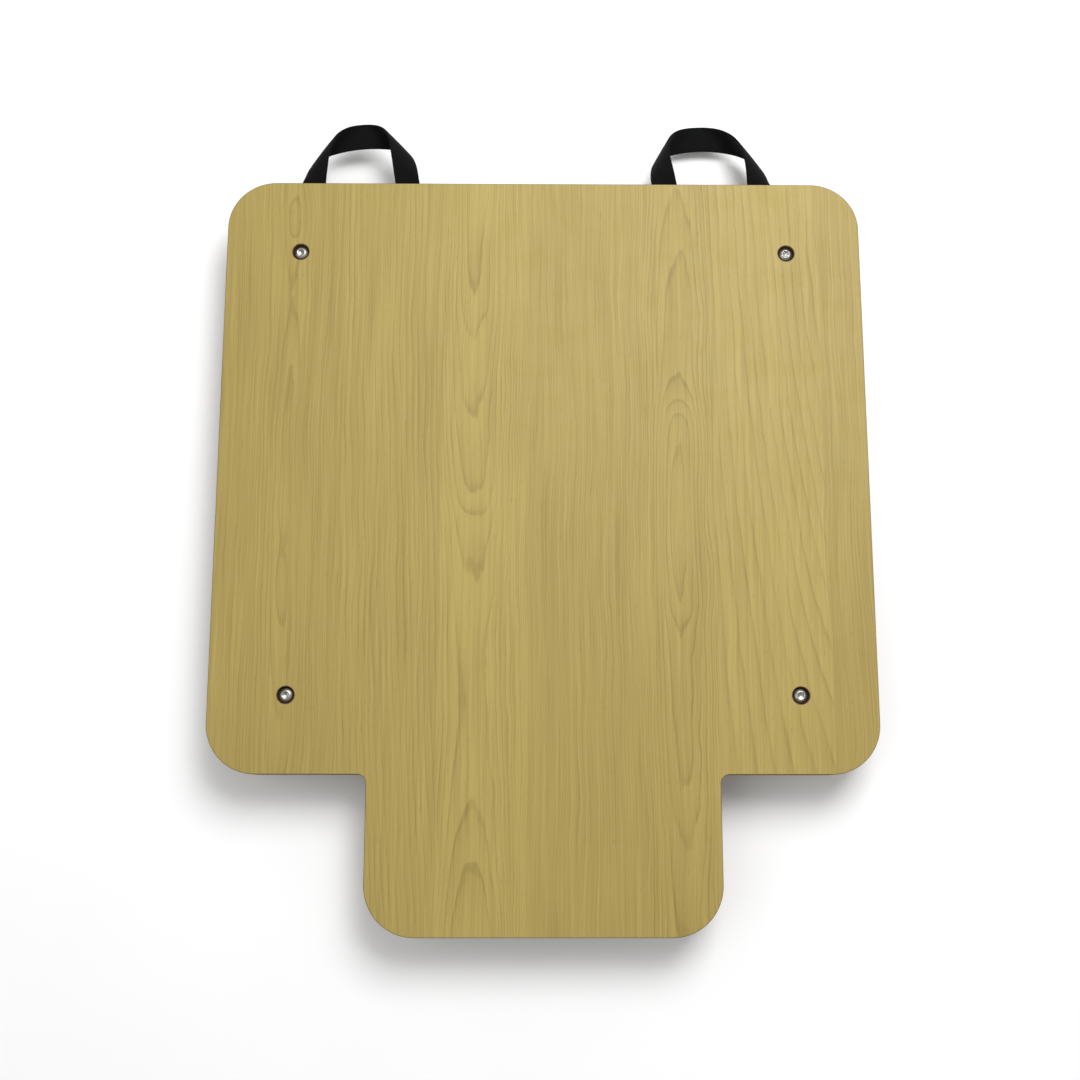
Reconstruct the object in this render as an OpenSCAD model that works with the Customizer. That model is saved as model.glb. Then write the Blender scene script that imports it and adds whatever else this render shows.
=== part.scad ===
// Transfer board: a T-shaped laminated board on four rubber feet, with two webbing pull loops.
// X runs across the board, +Y points to the pull loops and +Z is up. The origin is on the floor,
// below the centre of the overall box.

/* [Board] */
// Width of the wide panel
panel_w = 430; // [380:5:480]
// Depth of the wide panel, front to back
panel_d = 400; // [360:5:440]
// Width of the tongue
tongue_w = 225; // [180:5:260]
// Length of the tongue in front of the panel
tongue_l = 100; // [80:5:140]
// Radius of every outer corner
corner_r = 32; // [15:1:45]
// Radius in the two inner corners beside the tongue
inner_r = 5.5; // [3:0.5:15]
// Thickness of the core
core_t = 16.4; // [14:0.1:20]
// Thickness of each laminate sheet
laminate_t = 0.8; // [0.6:0.1:1.2]

/* [Feet and fasteners] */
// Spacing of the feet across the board
foot_span_x = 330; // [280:5:340]
// Spacing of the feet from front to back
foot_span_y = 300; // [260:5:310]
// Height of a foot
foot_h = 20; // [18:0.5:26]
// Diameter of a foot at the board
foot_top_d = 36; // [30:1:36]
// Diameter of a foot at the floor
foot_bottom_d = 32; // [26:1:34]
// Rubber left above the recess of a foot
foot_web = 7.5; // [6:0.5:8]
// Diameter of the recess in a foot
foot_recess_d = 17; // [17:0.5:20]
// Thread diameter of a board screw
screw_d = 6; // [6:0.5:6]
// Length of a board screw under its head
screw_l = 30; // [30:1:30]
// Diameter of a domed screw head
head_d = 10.5; // [10:0.1:10.6]
// Height of a domed screw head
head_h = 3.3; // [3:0.1:3.4]
// Key size of the hexagon socket
socket_af = 4; // [3:0.5:4]
// Depth of the hexagon socket
socket_depth = 2.1; // [1.5:0.1:2.3]
// Diameter of a counterbore
counterbore_d = 11; // [10.8:0.1:12]
// Depth of a counterbore below the top face
counterbore_depth = 3.5; // [3.4:0.1:4]
// Diameter of a clearance hole
clearance_d = 6.5; // [6.3:0.1:7]
// Outer diameter of a foot washer
washer_d = 16; // [14:0.5:16.5]
// Thickness of a foot washer
washer_t = 1.2; // [1:0.1:1.6]
// Width across the flats of a lock nut
nut_af = 10; // [10:0.5:11]
// Height of the hexagon of a lock nut
nut_hex_h = 4.4; // [4:0.1:5]
// Height of the round collar that holds the lock ring
nut_collar_h = 1.6; // [1.2:0.1:2]

/* [Straps] */
// Width of the webbing
web_w = 17; // [15:0.5:18]
// Thickness of the webbing
web_t = 1.6; // [1.2:0.1:1.8]
// Length of webbing held flat under the board, behind the bend
tail_l = 28.5; // [26:0.5:29]
// Distance from the back edge to the strap screws
strap_screw_inset = 13.5; // [12:0.5:15]
// Angle at which the loops stand up from the underside
loop_pitch = 22; // [10:1:30]
// Shank diameter of a strap screw
strap_screw_d = 3.6; // [3:0.1:4]
// Length of a strap screw under its head
strap_screw_l = 16; // [12:1:18]
// Head diameter of a strap screw
strap_head_d = 8; // [7:0.5:9]
// Head height of a strap screw
strap_head_h = 2.6; // [2:0.1:3]
// Outer diameter of a strap washer
strap_washer_d = 14; // [12:0.5:15]

/* [Left loop] */
// Distance of the left loop's centre from the board's centre line
left_x = 131.6; // [120:0.2:140]
// Reach of the left loop's cross band from the bend
left_reach = 38.2; // [34:0.1:42]
// Turn of the left cross band
left_turn = 6.5; // [0:0.5:8]
// Distances of the fold lines from the middle of the left cross band
left_fold_at = [2.5, 12.6]; // [2:0.1:14]
// Slopes of the fold lines of the left cross band
left_fold_slope = [36.8, 44.3]; // [36:0.1:50]
// Radius over which the left folds are rolled
left_fold_r = 8.6; // [6:0.1:12]
// Bow of the left cross band
left_bow = 0.0047; // [0:0.0001:0.006]

/* [Right loop] */
// Distance of the right loop's centre from the board's centre line
right_x = 105.2; // [98:0.2:120]
// Reach of the right loop's cross band from the bend
right_reach = 38.2; // [34:0.1:42]
// Turn of the right cross band
right_turn = 5; // [0:0.5:8]
// Distances of the fold lines from the middle of the right cross band
right_fold_at = [2.3, 13.2]; // [2:0.1:14]
// Slopes of the fold lines of the right cross band
right_fold_slope = [50, 43.8]; // [40:0.1:52]
// Radius over which the right folds are rolled
right_fold_r = 12.6; // [6:0.1:13]
// Bow of the right cross band
right_bow = 0.0053; // [0:0.0001:0.006]

/* [Hidden] */
$fn = 96;
// Running room between coaxial faces that touch
touch = 0.02;
// Overshoot of a cutter past the face it opens
past = 1;
// Distance of a bend from the back edge, and the bare gap each side of the bend
bend_out = 2;
bend_gap = 1.6;
// Rings along a loop, facets across it and halvings when its ends are found
loop_rings = 56;
loop_facets = 4;
end_steps = 24;
// Longest half length of webbing that a loop may need
half_l = 130;
// Slenderness of a pan head's edge, and the point of a wood screw
head_edge = 0.8;
point_h = 3;

board_t = core_t + 2 * laminate_t;
board_z = foot_h;
core_z = board_z + laminate_t;
top_z = board_z + board_t;
seat_z = top_z - counterbore_depth;
washer_z = board_z - foot_web - washer_t;
nut_z = washer_z - nut_hex_h;
ring_d = screw_d + 2.4;
collar_d = nut_af - 0.4;
web_z = board_z - web_t / 2;

left = [-left_x, left_reach, left_turn, left_fold_at, left_fold_slope, left_fold_r, left_bow];
right = [right_x, right_reach, right_turn, right_fold_at, right_fold_slope, right_fold_r, right_bow];

// ---- The webbing as a flat band rolled over two slanting rods ----
// s runs along the band from the middle of the cross band, t across it. Past a fold line the band
// wraps half way round a rod of radius r and comes back above itself, so it leaves mirrored.

// Outward normal of the fold line on one side (side is -1 or +1)
function fold_normal(loop, side) =
  let (slope = loop[4][side < 0 ? 0 : 1])
  [side * sin(slope), cos(slope)];

// How far the point (s, t) lies past the fold line
function past_fold(loop, side, s, t) =
  let (n = fold_normal(loop, side), at = loop[3][side < 0 ? 0 : 1])
  (s - side * at) * n[0] + t * n[1];

// Where a stretch q past the fold line comes to lie: distance along the normal, and height
function rolled(q, r) =
  q <= 0 ? [q, 0] :
  q < PI * r ? [r * sin(q / r * 180 / PI), r * (1 - cos(q / r * 180 / PI))] :
  [PI * r - q, 2 * r];

// How the fold on one side moves the point (s, t) off the flat band
function wrap(loop, side, s, t) =
  let (
    n = fold_normal(loop, side),
    q = past_fold(loop, side, s, t),
    roll = rolled(q, loop[5])
  )
  [(roll[0] - q) * n[0], (roll[0] - q) * n[1], roll[1]];

// The band's middle surface before it is pitched: the legs lie at height 0, the cross band 2 r below
function band(loop, s, t) =
  let (w = wrap(loop, -1, s, t) + wrap(loop, 1, s, t), x = s + w[0])
  [x, t + w[1] - loop[6] * x * x, w[2] - 2 * loop[5]];

// The same point on the board: turned, moved out to its reach and pitched up about the bend.
// It is given relative to the bend's axis.
function on_bend(loop, s, t) =
  let (
    p = band(loop, s, t),
    turn = loop[2],
    x = loop[0] + p[0] * cos(turn) - p[1] * sin(turn),
    y = loop[1] + p[0] * sin(turn) + p[1] * cos(turn)
  )
  [x, y * cos(loop_pitch) - p[2] * sin(loop_pitch), y * sin(loop_pitch) + p[2] * cos(loop_pitch)];

// Length s at which the band, going out along one leg, comes down to the distance y from the bend
function leg_end(loop, side, t, y, near, far, steps = end_steps) =
  let (mid = (near + far) / 2)
  steps == 0 ? mid :
  on_bend(loop, side * mid, t)[1] > y ?
    leg_end(loop, side, t, y, mid, far, steps - 1) :
    leg_end(loop, side, t, y, near, mid, steps - 1);

function leg_s(loop, side, t, y) = side * leg_end(loop, side, t, y, half_l / 4, half_l);

// Rows of points on the middle surface, from one bend to the other
function across(j) = web_w * (j / loop_facets - 0.5);
function loop_rows(loop) = [
  for (i = [0:loop_rings]) [
    for (j = [0:loop_facets])
      let (
        t = across(j),
        first = leg_s(loop, -1, t, bend_gap),
        last = leg_s(loop, 1, t, bend_gap)
      )
      on_bend(loop, first + (last - first) * i / loop_rings, t)
  ]
];

// Unit normals of such a grid, from the points on either side
function unit(v) = v / norm(v);
function grid_normal(rows, i, j) =
  let (
    along = rows[min(i + 1, loop_rings)][j] - rows[max(i - 1, 0)][j],
    over = rows[i][min(j + 1, loop_facets)] - rows[i][max(j - 1, 0)]
  )
  unit(cross(along, over));

// The points of both faces of the webbing, first one face and then the other
function loop_skin(rows) = [
  for (face = [1, -1])
    for (i = [0:loop_rings])
      for (j = [0:loop_facets])
        rows[i][j] + face * web_t / 2 * grid_normal(rows, i, j)
];
left_skin = loop_skin(loop_rows(left));
right_skin = loop_skin(loop_rows(right));

// How far the loops reach past the back edge, and so where the panel's centre lies
loop_reach = bend_out + max([for (p = concat(left_skin, right_skin)) p[1]]);
panel_y = (tongue_l - loop_reach) / 2;
back_y = panel_y + panel_d / 2;
bend_y = back_y + bend_out;

// ---- Placing ----

// A corner of the screw rectangle: sx is -1 left, +1 right; sy is -1 front, +1 back
module at_foot(sx, sy) {
  translate([sx * foot_span_x / 2, panel_y + sy * foot_span_y / 2, 0]) children();
}

module at_every_foot() {
  for (sx = [-1, 1])
    for (sy = [-1, 1])
      at_foot(sx, sy) children();
}

// The middle of a strap where it goes under the back edge, and the way it points there
function leg_mid(loop, side, y) = on_bend(loop, leg_s(loop, side, 0, y), 0);
function leg_lean(loop, side) =
  let (a = leg_mid(loop, side, bend_gap), b = leg_mid(loop, side, 2 * bend_gap))
  atan2(a[0] - b[0], b[1] - a[1]);

// Children are drawn with their own -Y running under the board along the tail
module at_tail(loop, side) {
  translate([leg_mid(loop, side, bend_gap)[0], bend_y, web_z])
    rotate([0, 0, leg_lean(loop, side)])
      children();
}

module at_strap_screw(loop, side) {
  at_tail(loop, side)
    translate([0, -bend_out - strap_screw_inset, 0])
      children();
}

module at_every_strap_screw() {
  for (loop = [left, right])
    for (side = [-1, 1])
      at_strap_screw(loop, side) children();
}

// ---- Board ----

// A rectangle with round corners, centred on X, from y = 0 up
module round_plate(w, d, r) {
  translate([-w / 2 + r, 0]) square([w - 2 * r, d]);
  translate([-w / 2, r]) square([w, d - 2 * r]);
  for (x = [-w / 2 + r, w / 2 - r])
    for (y = [r, d - r])
      translate([x, y]) circle(r);
}

module inner_fillet() {
  difference() {
    square(inner_r);
    translate([inner_r, inner_r]) circle(inner_r);
  }
}

module board_outline() {
  translate([0, panel_y]) {
    translate([0, -panel_d / 2]) round_plate(panel_w, panel_d, corner_r);
    translate([0, -panel_d / 2 - tongue_l]) round_plate(tongue_w, tongue_l + 2 * corner_r, corner_r);
    for (side = [0, 1])
      mirror([side, 0])
        translate([tongue_w / 2, -panel_d / 2])
          mirror([0, 1])
            inner_fillet();
  }
}

// One layer of the board, drilled for the four screws
module layer(z, t, hole_d) {
  difference() {
    translate([0, 0, z]) linear_extrude(t) board_outline();
    at_every_foot() translate([0, 0, z - past]) cylinder(d = hole_d, h = t + 2 * past);
  }
}

module core_board() {
  color("#6b4a2e")
    difference() {
      layer(core_z, core_t, clearance_d);
      at_every_foot() translate([0, 0, seat_z]) cylinder(d = counterbore_d, h = counterbore_depth);
      at_every_strap_screw() strap_screw_hole(strap_screw_l);
    }
}

module top_laminate() {
  color("#bfa96a") layer(core_z + core_t, laminate_t, counterbore_d);
}

module bottom_laminate() {
  color("#b9a468")
    difference() {
      layer(board_z, laminate_t, clearance_d);
      at_every_strap_screw() strap_screw_hole(strap_screw_l);
    }
}

// ---- Feet and their fasteners ----

module foot() {
  color("#2b2b2c")
    difference() {
      cylinder(d1 = foot_bottom_d, d2 = foot_top_d, h = foot_h);
      translate([0, 0, -past]) cylinder(d = foot_recess_d, h = foot_h - foot_web + past);
      cylinder(d = clearance_d, h = foot_h + past);
    }
}

module domed_head(d, h) {
  dome_r = (d * d / 4 + h * h) / (2 * h);
  intersection() {
    cylinder(d = d, h = h);
    translate([0, 0, h - dome_r]) sphere(dome_r);
  }
}

module board_screw() {
  color("#c9cccf")
    translate([0, 0, seat_z])
      difference() {
        union() {
          domed_head(head_d, head_h);
          translate([0, 0, -screw_l]) cylinder(d = screw_d, h = screw_l + head_h / 2);
        }
        translate([0, 0, head_h - socket_depth])
          cylinder(d = socket_af / cos(30), h = socket_depth + past, $fn = 6);
      }
}

module foot_washer() {
  color("#b4b7ba")
    translate([0, 0, washer_z])
      difference() {
        cylinder(d = washer_d, h = washer_t);
        translate([0, 0, -past]) cylinder(d = clearance_d - 0.1, h = washer_t + 2 * past);
      }
}

module lock_nut() {
  color("#a9adb1")
    translate([0, 0, nut_z])
      difference() {
        union() {
          cylinder(d = nut_af / cos(30), h = nut_hex_h, $fn = 6);
          translate([0, 0, -nut_collar_h]) cylinder(d = collar_d, h = nut_collar_h + past);
        }
        translate([0, 0, -nut_collar_h - past])
          cylinder(d = screw_d + 2 * touch, h = nut_hex_h + nut_collar_h + 2 * past);
        translate([0, 0, -nut_collar_h - past]) cylinder(d = ring_d, h = nut_collar_h + past);
      }
}

module lock_ring() {
  color("#e7e6df")
    translate([0, 0, nut_z - nut_collar_h])
      difference() {
        cylinder(d = ring_d - 2 * touch, h = nut_collar_h - touch);
        translate([0, 0, -past]) cylinder(d = screw_d + 2 * touch, h = nut_collar_h + 2 * past);
      }
}

// ---- Straps ----

// The webbing outside the back edge: both faces, the long edges and the two ends of its skin
module strap_loop(skin) {
  n = loop_facets + 1;
  sheet = (loop_rings + 1) * n;
  front = [
    for (i = [0:loop_rings - 1])
      for (j = [0:loop_facets - 1])
        [i * n + j, i * n + j + 1, (i + 1) * n + j + 1, (i + 1) * n + j]
  ];
  back = [for (f = front) [for (k = [3:-1:0]) f[k] + sheet]];
  long_edges = [
    for (i = [0:loop_rings - 1])
      for (j = [0, loop_facets])
        let (a = i * n + j, b = (i + 1) * n + j)
        j == 0 ? [a, b, b + sheet, a + sheet] : [b, a, a + sheet, b + sheet]
  ];
  end_edges = [
    for (i = [0, loop_rings])
      for (j = [0:loop_facets - 1])
        let (a = i * n + j, b = a + 1)
        i == 0 ? [b, a, a + sheet, b + sheet] : [a, b, b + sheet, a + sheet]
  ];
  color("#141414")
    translate([0, bend_y, web_z])
      polyhedron(skin, concat(front, back, long_edges, end_edges));
}

module strap_tail(loop, side) {
  color("#171717")
    difference() {
      at_tail(loop, side)
        translate([-web_w / 2, -bend_gap - tail_l, -web_t / 2])
          cube([web_w, tail_l + web_w / 2, web_t]);
      at_strap_screw(loop, side) strap_screw_hole(past);
      translate([-panel_w / 2, bend_y - bend_gap, 0]) cube([panel_w, web_w, board_z + past]);
    }
}

// Cutter round a strap screw, from its washer up to the given height
module strap_screw_hole(up) {
  translate([0, 0, -web_t]) cylinder(d = strap_screw_d + 2 * touch, h = web_t + up);
}

module strap_washer() {
  color("#b4b7ba")
    translate([0, 0, -web_t / 2 - washer_t])
      difference() {
        cylinder(d = strap_washer_d, h = washer_t);
        translate([0, 0, -past]) cylinder(d = strap_screw_d + 0.4, h = washer_t + 2 * past);
      }
}

module strap_screw() {
  seat = -web_t / 2 - washer_t;
  color("#c4c7ca")
    translate([0, 0, seat]) {
      rotate([180, 0, 0]) pan_head();
      translate([0, 0, -past / 2]) cylinder(d = strap_screw_d, h = strap_screw_l - point_h + past / 2);
      translate([0, 0, strap_screw_l - point_h])
        cylinder(d1 = strap_screw_d, d2 = strap_screw_d / 4, h = point_h);
    }
}

// A pan head with a cross slot, its seat at z = 0 and its top up
module pan_head() {
  difference() {
    union() {
      cylinder(d = strap_head_d, h = head_edge);
      translate([0, 0, head_edge]) domed_head(strap_head_d, strap_head_h - head_edge);
    }
    for (turn = [0, 90])
      rotate([0, 0, turn])
        translate([-2, -0.45, strap_head_h - 1.5])
          cube([4, 0.9, 1.5 + past]);
  }
}

core_board();
top_laminate();
bottom_laminate();
at_foot(-1, 1) foot();  // foot_back_left
at_foot(1, 1) foot();  // foot_back_right
at_foot(-1, -1) foot();  // foot_front_left
at_foot(1, -1) foot();  // foot_front_right
at_foot(-1, 1) board_screw();  // screw_back_left
at_foot(1, 1) board_screw();  // screw_back_right
at_foot(-1, -1) board_screw();  // screw_front_left
at_foot(1, -1) board_screw();  // screw_front_right
at_foot(-1, 1) foot_washer();  // foot_washer_back_left
at_foot(1, 1) foot_washer();  // foot_washer_back_right
at_foot(-1, -1) foot_washer();  // foot_washer_front_left
at_foot(1, -1) foot_washer();  // foot_washer_front_right
at_foot(-1, 1) lock_nut();  // lock_nut_back_left
at_foot(1, 1) lock_nut();  // lock_nut_back_right
at_foot(-1, -1) lock_nut();  // lock_nut_front_left
at_foot(1, -1) lock_nut();  // lock_nut_front_right
at_foot(-1, 1) lock_ring();  // lock_ring_back_left
at_foot(1, 1) lock_ring();  // lock_ring_back_right
at_foot(-1, -1) lock_ring();  // lock_ring_front_left
at_foot(1, -1) lock_ring();  // lock_ring_front_right
strap_loop(left_skin);  // strap_left_loop
strap_loop(right_skin);  // strap_right_loop
strap_tail(left, -1);  // strap_left_tail_outer
strap_tail(left, 1);  // strap_left_tail_inner
strap_tail(right, -1);  // strap_right_tail_inner
strap_tail(right, 1);  // strap_right_tail_outer
at_strap_screw(left, -1) strap_washer();  // strap_washer_left_outer
at_strap_screw(left, 1) strap_washer();  // strap_washer_left_inner
at_strap_screw(right, -1) strap_washer();  // strap_washer_right_inner
at_strap_screw(right, 1) strap_washer();  // strap_washer_right_outer
at_strap_screw(left, -1) strap_screw();  // strap_screw_left_outer
at_strap_screw(left, 1) strap_screw();  // strap_screw_left_inner
at_strap_screw(right, -1) strap_screw();  // strap_screw_right_inner
at_strap_screw(right, 1) strap_screw();  // strap_screw_right_outer
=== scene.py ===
"""Looks of the transfer board: a laminated board on four rubber feet, with two webbing pull loops.

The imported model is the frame. Each piece below is a surface worked out in that frame and stands
for the node or nodes that it replaces. Sizes are in millimetres until a mesh is made.
"""

import logging
import math
from dataclasses import dataclass, field
from enum import Enum
from typing import Optional, Sequence, Union

import bmesh
import bpy
import numpy as np
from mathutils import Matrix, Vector
from mathutils.geometry import tessellate_polygon


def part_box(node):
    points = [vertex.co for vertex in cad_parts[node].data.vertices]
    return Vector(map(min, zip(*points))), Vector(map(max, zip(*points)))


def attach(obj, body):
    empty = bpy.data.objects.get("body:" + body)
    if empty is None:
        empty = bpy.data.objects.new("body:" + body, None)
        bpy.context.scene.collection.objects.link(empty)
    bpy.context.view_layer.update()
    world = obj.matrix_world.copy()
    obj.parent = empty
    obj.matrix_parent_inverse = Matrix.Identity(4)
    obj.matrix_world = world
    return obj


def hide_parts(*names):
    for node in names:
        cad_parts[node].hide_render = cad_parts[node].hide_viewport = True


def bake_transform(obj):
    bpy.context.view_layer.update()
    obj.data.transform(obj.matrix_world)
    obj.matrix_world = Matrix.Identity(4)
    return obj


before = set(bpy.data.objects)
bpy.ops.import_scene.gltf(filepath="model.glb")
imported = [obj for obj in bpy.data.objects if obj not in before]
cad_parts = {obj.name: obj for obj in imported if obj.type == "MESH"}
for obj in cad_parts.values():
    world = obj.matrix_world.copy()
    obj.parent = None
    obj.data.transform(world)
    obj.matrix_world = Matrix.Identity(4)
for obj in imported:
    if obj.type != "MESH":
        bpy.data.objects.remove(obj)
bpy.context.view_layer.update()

MM = 0.001
FULL_TURN = 2 * math.pi
CORNERS = ("back_left", "back_right", "front_left", "front_right")
STRAP_PLACES = ("left_outer", "left_inner", "right_inner", "right_outer")
CORNER_SCREWS = [f"screw_{corner}" for corner in CORNERS]
STRAP_SCREWS = [f"strap_screw_{place}" for place in STRAP_PLACES]
log = logging.getLogger("transfer_board")

Array = np.ndarray
Socket = bpy.types.NodeSocket
Node = bpy.types.Node
Tree = bpy.types.NodeTree
Material = bpy.types.Material
Piece = bpy.types.Object
Value = Union[Socket, float]


# ---- Measures of the frame ----


def node_box(node: str) -> tuple[Array, Array]:
    """Gives the lowest and highest corner of a node at rest, in millimetres."""
    low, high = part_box(node)
    return np.array(low) / MM, np.array(high) / MM


def node_centre(node: str) -> Array:
    """Gives the middle of a node's box, in millimetres."""
    low, high = node_box(node)
    return (low + high) / 2


# ---- Meshes ----


class Ends(Enum):
    """How the first and last ring of a tube are closed."""

    JOINED = "joined"
    POLES = "poles"
    LADDER = "ladder"
    OPEN = "open"


@dataclass
class Draft:
    """Points and faces of one mesh, gathered block by block before the mesh is made."""

    points: list[Array] = field(default_factory=list)
    faces: list[Array] = field(default_factory=list)
    finishes: list[Array] = field(default_factory=list)
    count: int = 0

    def add_points(self, points: Array) -> int:
        """Adds points.

        Args:
            points: the points, with X, Y and Z last.

        Returns:
            The number of the first point added.
        """
        first = self.count
        flat = points.reshape(-1, 3)
        self.points.append(flat)
        self.count += len(flat)
        return first

    def add_faces(self, faces: Array, finish: Union[int, Array] = 0) -> None:
        """Adds faces of one size.

        Args:
            faces: one row of point numbers for each face.
            finish: the material's place, for all of them or for each.
        """
        self.faces.append(faces)
        self.finishes.append(np.broadcast_to(finish, len(faces)).astype(np.int32))

    def add_rings(self, rings: Array, ends: Ends, finish: Union[int, Array] = 0) -> Array:
        """Skins a stack of closed rings.

        Args:
            rings: points as ring, place round the ring, and X, Y, Z.
            ends: how the stack is closed.
            finish: the material's place, for all bands or for each band of faces.

        Returns:
            The point numbers as ring and place round the ring.
        """
        first = self.add_points(rings)
        ids = np.arange(rings.shape[0] * rings.shape[1]).reshape(rings.shape[:2]) + first
        low, high = ids[:-1], ids[1:]
        if ends is Ends.JOINED:
            low, high = ids, np.roll(ids, -1, axis=0)
        quads = np.stack([low, np.roll(low, -1, 1), np.roll(high, -1, 1), high], axis=2)
        self.add_faces(quads.reshape(-1, 4), np.repeat(np.broadcast_to(finish, len(low)), low.shape[1]))
        if ends is Ends.POLES:
            self.add_pole(rings[0], ids[0][::-1])
            self.add_pole(rings[-1], ids[-1])
        if ends is Ends.LADDER:
            self.add_ladder(ids[0][::-1])
            self.add_ladder(ids[-1])
        return ids

    def add_pole(self, ring: Array, ids: Array, finish: int = 0) -> None:
        """Closes a ring with a fan of triangles to its middle.

        Args:
            ring: the ring's points.
            ids: their numbers, in the turning sense of the fan.
            finish: the material's place.
        """
        middle = self.add_points(ring.mean(axis=0))
        tip = np.full(len(ids), middle)
        self.add_faces(np.stack([ids, np.roll(ids, -1), tip], axis=1), finish)

    def add_ladder(self, ids: Array) -> None:
        """Closes a flat ring with quads from its first half to its second.

        Args:
            ids: the ring's point numbers, an even count.
        """
        step = np.arange(len(ids) // 2 - 1)
        last = len(ids) - 1
        self.add_faces(np.stack([ids[step], ids[step + 1], ids[last - step - 1], ids[last - step]], axis=1))

    def to_object(
        self,
        name: str,
        materials: Sequence[Material],
        place: Optional[Array] = None,
        sharp: float = 38.0,
    ) -> Piece:
        """Makes the mesh and its object, with faces outward.

        Args:
            name: the piece's name.
            materials: its materials, in the order of their places.
            place: a vector for each point, kept as the attribute "place" for the materials.
            sharp: edges that turn by more than this many degrees stay sharp.

        Returns:
            The object, at the origin, in metres.
        """
        points = np.concatenate(self.points) * MM
        corners = np.concatenate([block.ravel() for block in self.faces])
        sizes = np.concatenate([np.full(len(block), block.shape[1]) for block in self.faces])
        starts = np.concatenate([[0], np.cumsum(sizes)[:-1]])
        mesh = bpy.data.meshes.new(name)
        mesh.vertices.add(len(points))
        mesh.vertices.foreach_set("co", points.astype(np.float32).ravel())
        mesh.loops.add(len(corners))
        mesh.loops.foreach_set("vertex_index", corners.astype(np.int32))
        mesh.polygons.add(len(sizes))
        mesh.polygons.foreach_set("loop_start", starts.astype(np.int32))
        mesh.polygons.foreach_set("material_index", np.concatenate(self.finishes))
        mesh.update(calc_edges=True)
        local = np.concatenate(self.points) if place is None else place.reshape(-1, 3)
        attribute = mesh.attributes.new("place", "FLOAT_VECTOR", "POINT")
        attribute.data.foreach_set("vector", local.astype(np.float32).ravel())
        whole = bmesh.new()
        whole.from_mesh(mesh)
        bmesh.ops.recalc_face_normals(whole, faces=whole.faces)
        whole.to_mesh(mesh)
        whole.free()
        mesh.shade_smooth()
        mesh.set_sharp_from_angle(angle=math.radians(sharp))
        for material in materials:
            mesh.materials.append(material)
        piece = bpy.data.objects.new(name, mesh)
        bpy.context.scene.collection.objects.link(piece)
        return piece


def turned(radius: Array, height: Array, columns: int) -> Array:
    """Turns a profile about the Z axis: x = r cos a, y = r sin a, z = height.

    Args:
        radius: radius of each ring, or of each point of each ring.
        height: height of each ring.
        columns: number of points round a ring.

    Returns:
        The rings' points.
    """
    angle = np.arange(columns) / columns * FULL_TURN
    spread = np.broadcast_to(radius if radius.ndim == 2 else radius[:, None], (len(height), columns))
    level = np.broadcast_to(height[:, None], spread.shape)
    return np.stack([spread * np.cos(angle), spread * np.sin(angle), level], axis=2)


def quarter(corner: tuple[float, float], size: float, start: float, steps: int = 5) -> Array:
    """Rounds a profile's corner: points on a quarter circle, turning to the right.

    Args:
        corner: radius and height of the arc's centre.
        size: the arc's radius.
        start: the direction of its first point, in degrees, 0 outward and 90 up.
        steps: number of points less one.

    Returns:
        Points as radius and height.
    """
    angle = np.radians(start - np.linspace(0, 90, steps + 1))
    return np.array(corner) + size * np.stack([np.cos(angle), np.sin(angle)], axis=1)


def hexagon(across_flats: float, columns: int) -> Array:
    """Gives a hexagon's polar radius: half the flats' distance over the cosine from the flat's middle.

    Args:
        across_flats: distance between two flats.
        columns: number of points round it, a multiple of 12.

    Returns:
        The radius at each point.
    """
    angle = np.arange(columns) / columns * FULL_TURN
    sixth = FULL_TURN / 6
    return across_flats / 2 / np.cos(np.mod(angle, sixth) - sixth / 2)


def helix(height: Array, columns: int, pitch: float, root: float, crest: float) -> Array:
    """Gives a thread's radius: a flattened triangle wave of height over pitch plus the turn.

    Args:
        height: height of each ring.
        columns: number of points round a ring.
        pitch: rise of one turn.
        root: radius at the root.
        crest: radius at the crest.

    Returns:
        The radius as ring and place round the ring.
    """
    turn = np.arange(columns) / columns
    phase = np.mod(height[:, None] / pitch - turn, 1)
    wave = np.clip(1.3 * np.abs(2 * phase - 1) - 0.1, 0, 1)
    return root + (crest - root) * wave


# ---- Shader nodes ----


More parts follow.
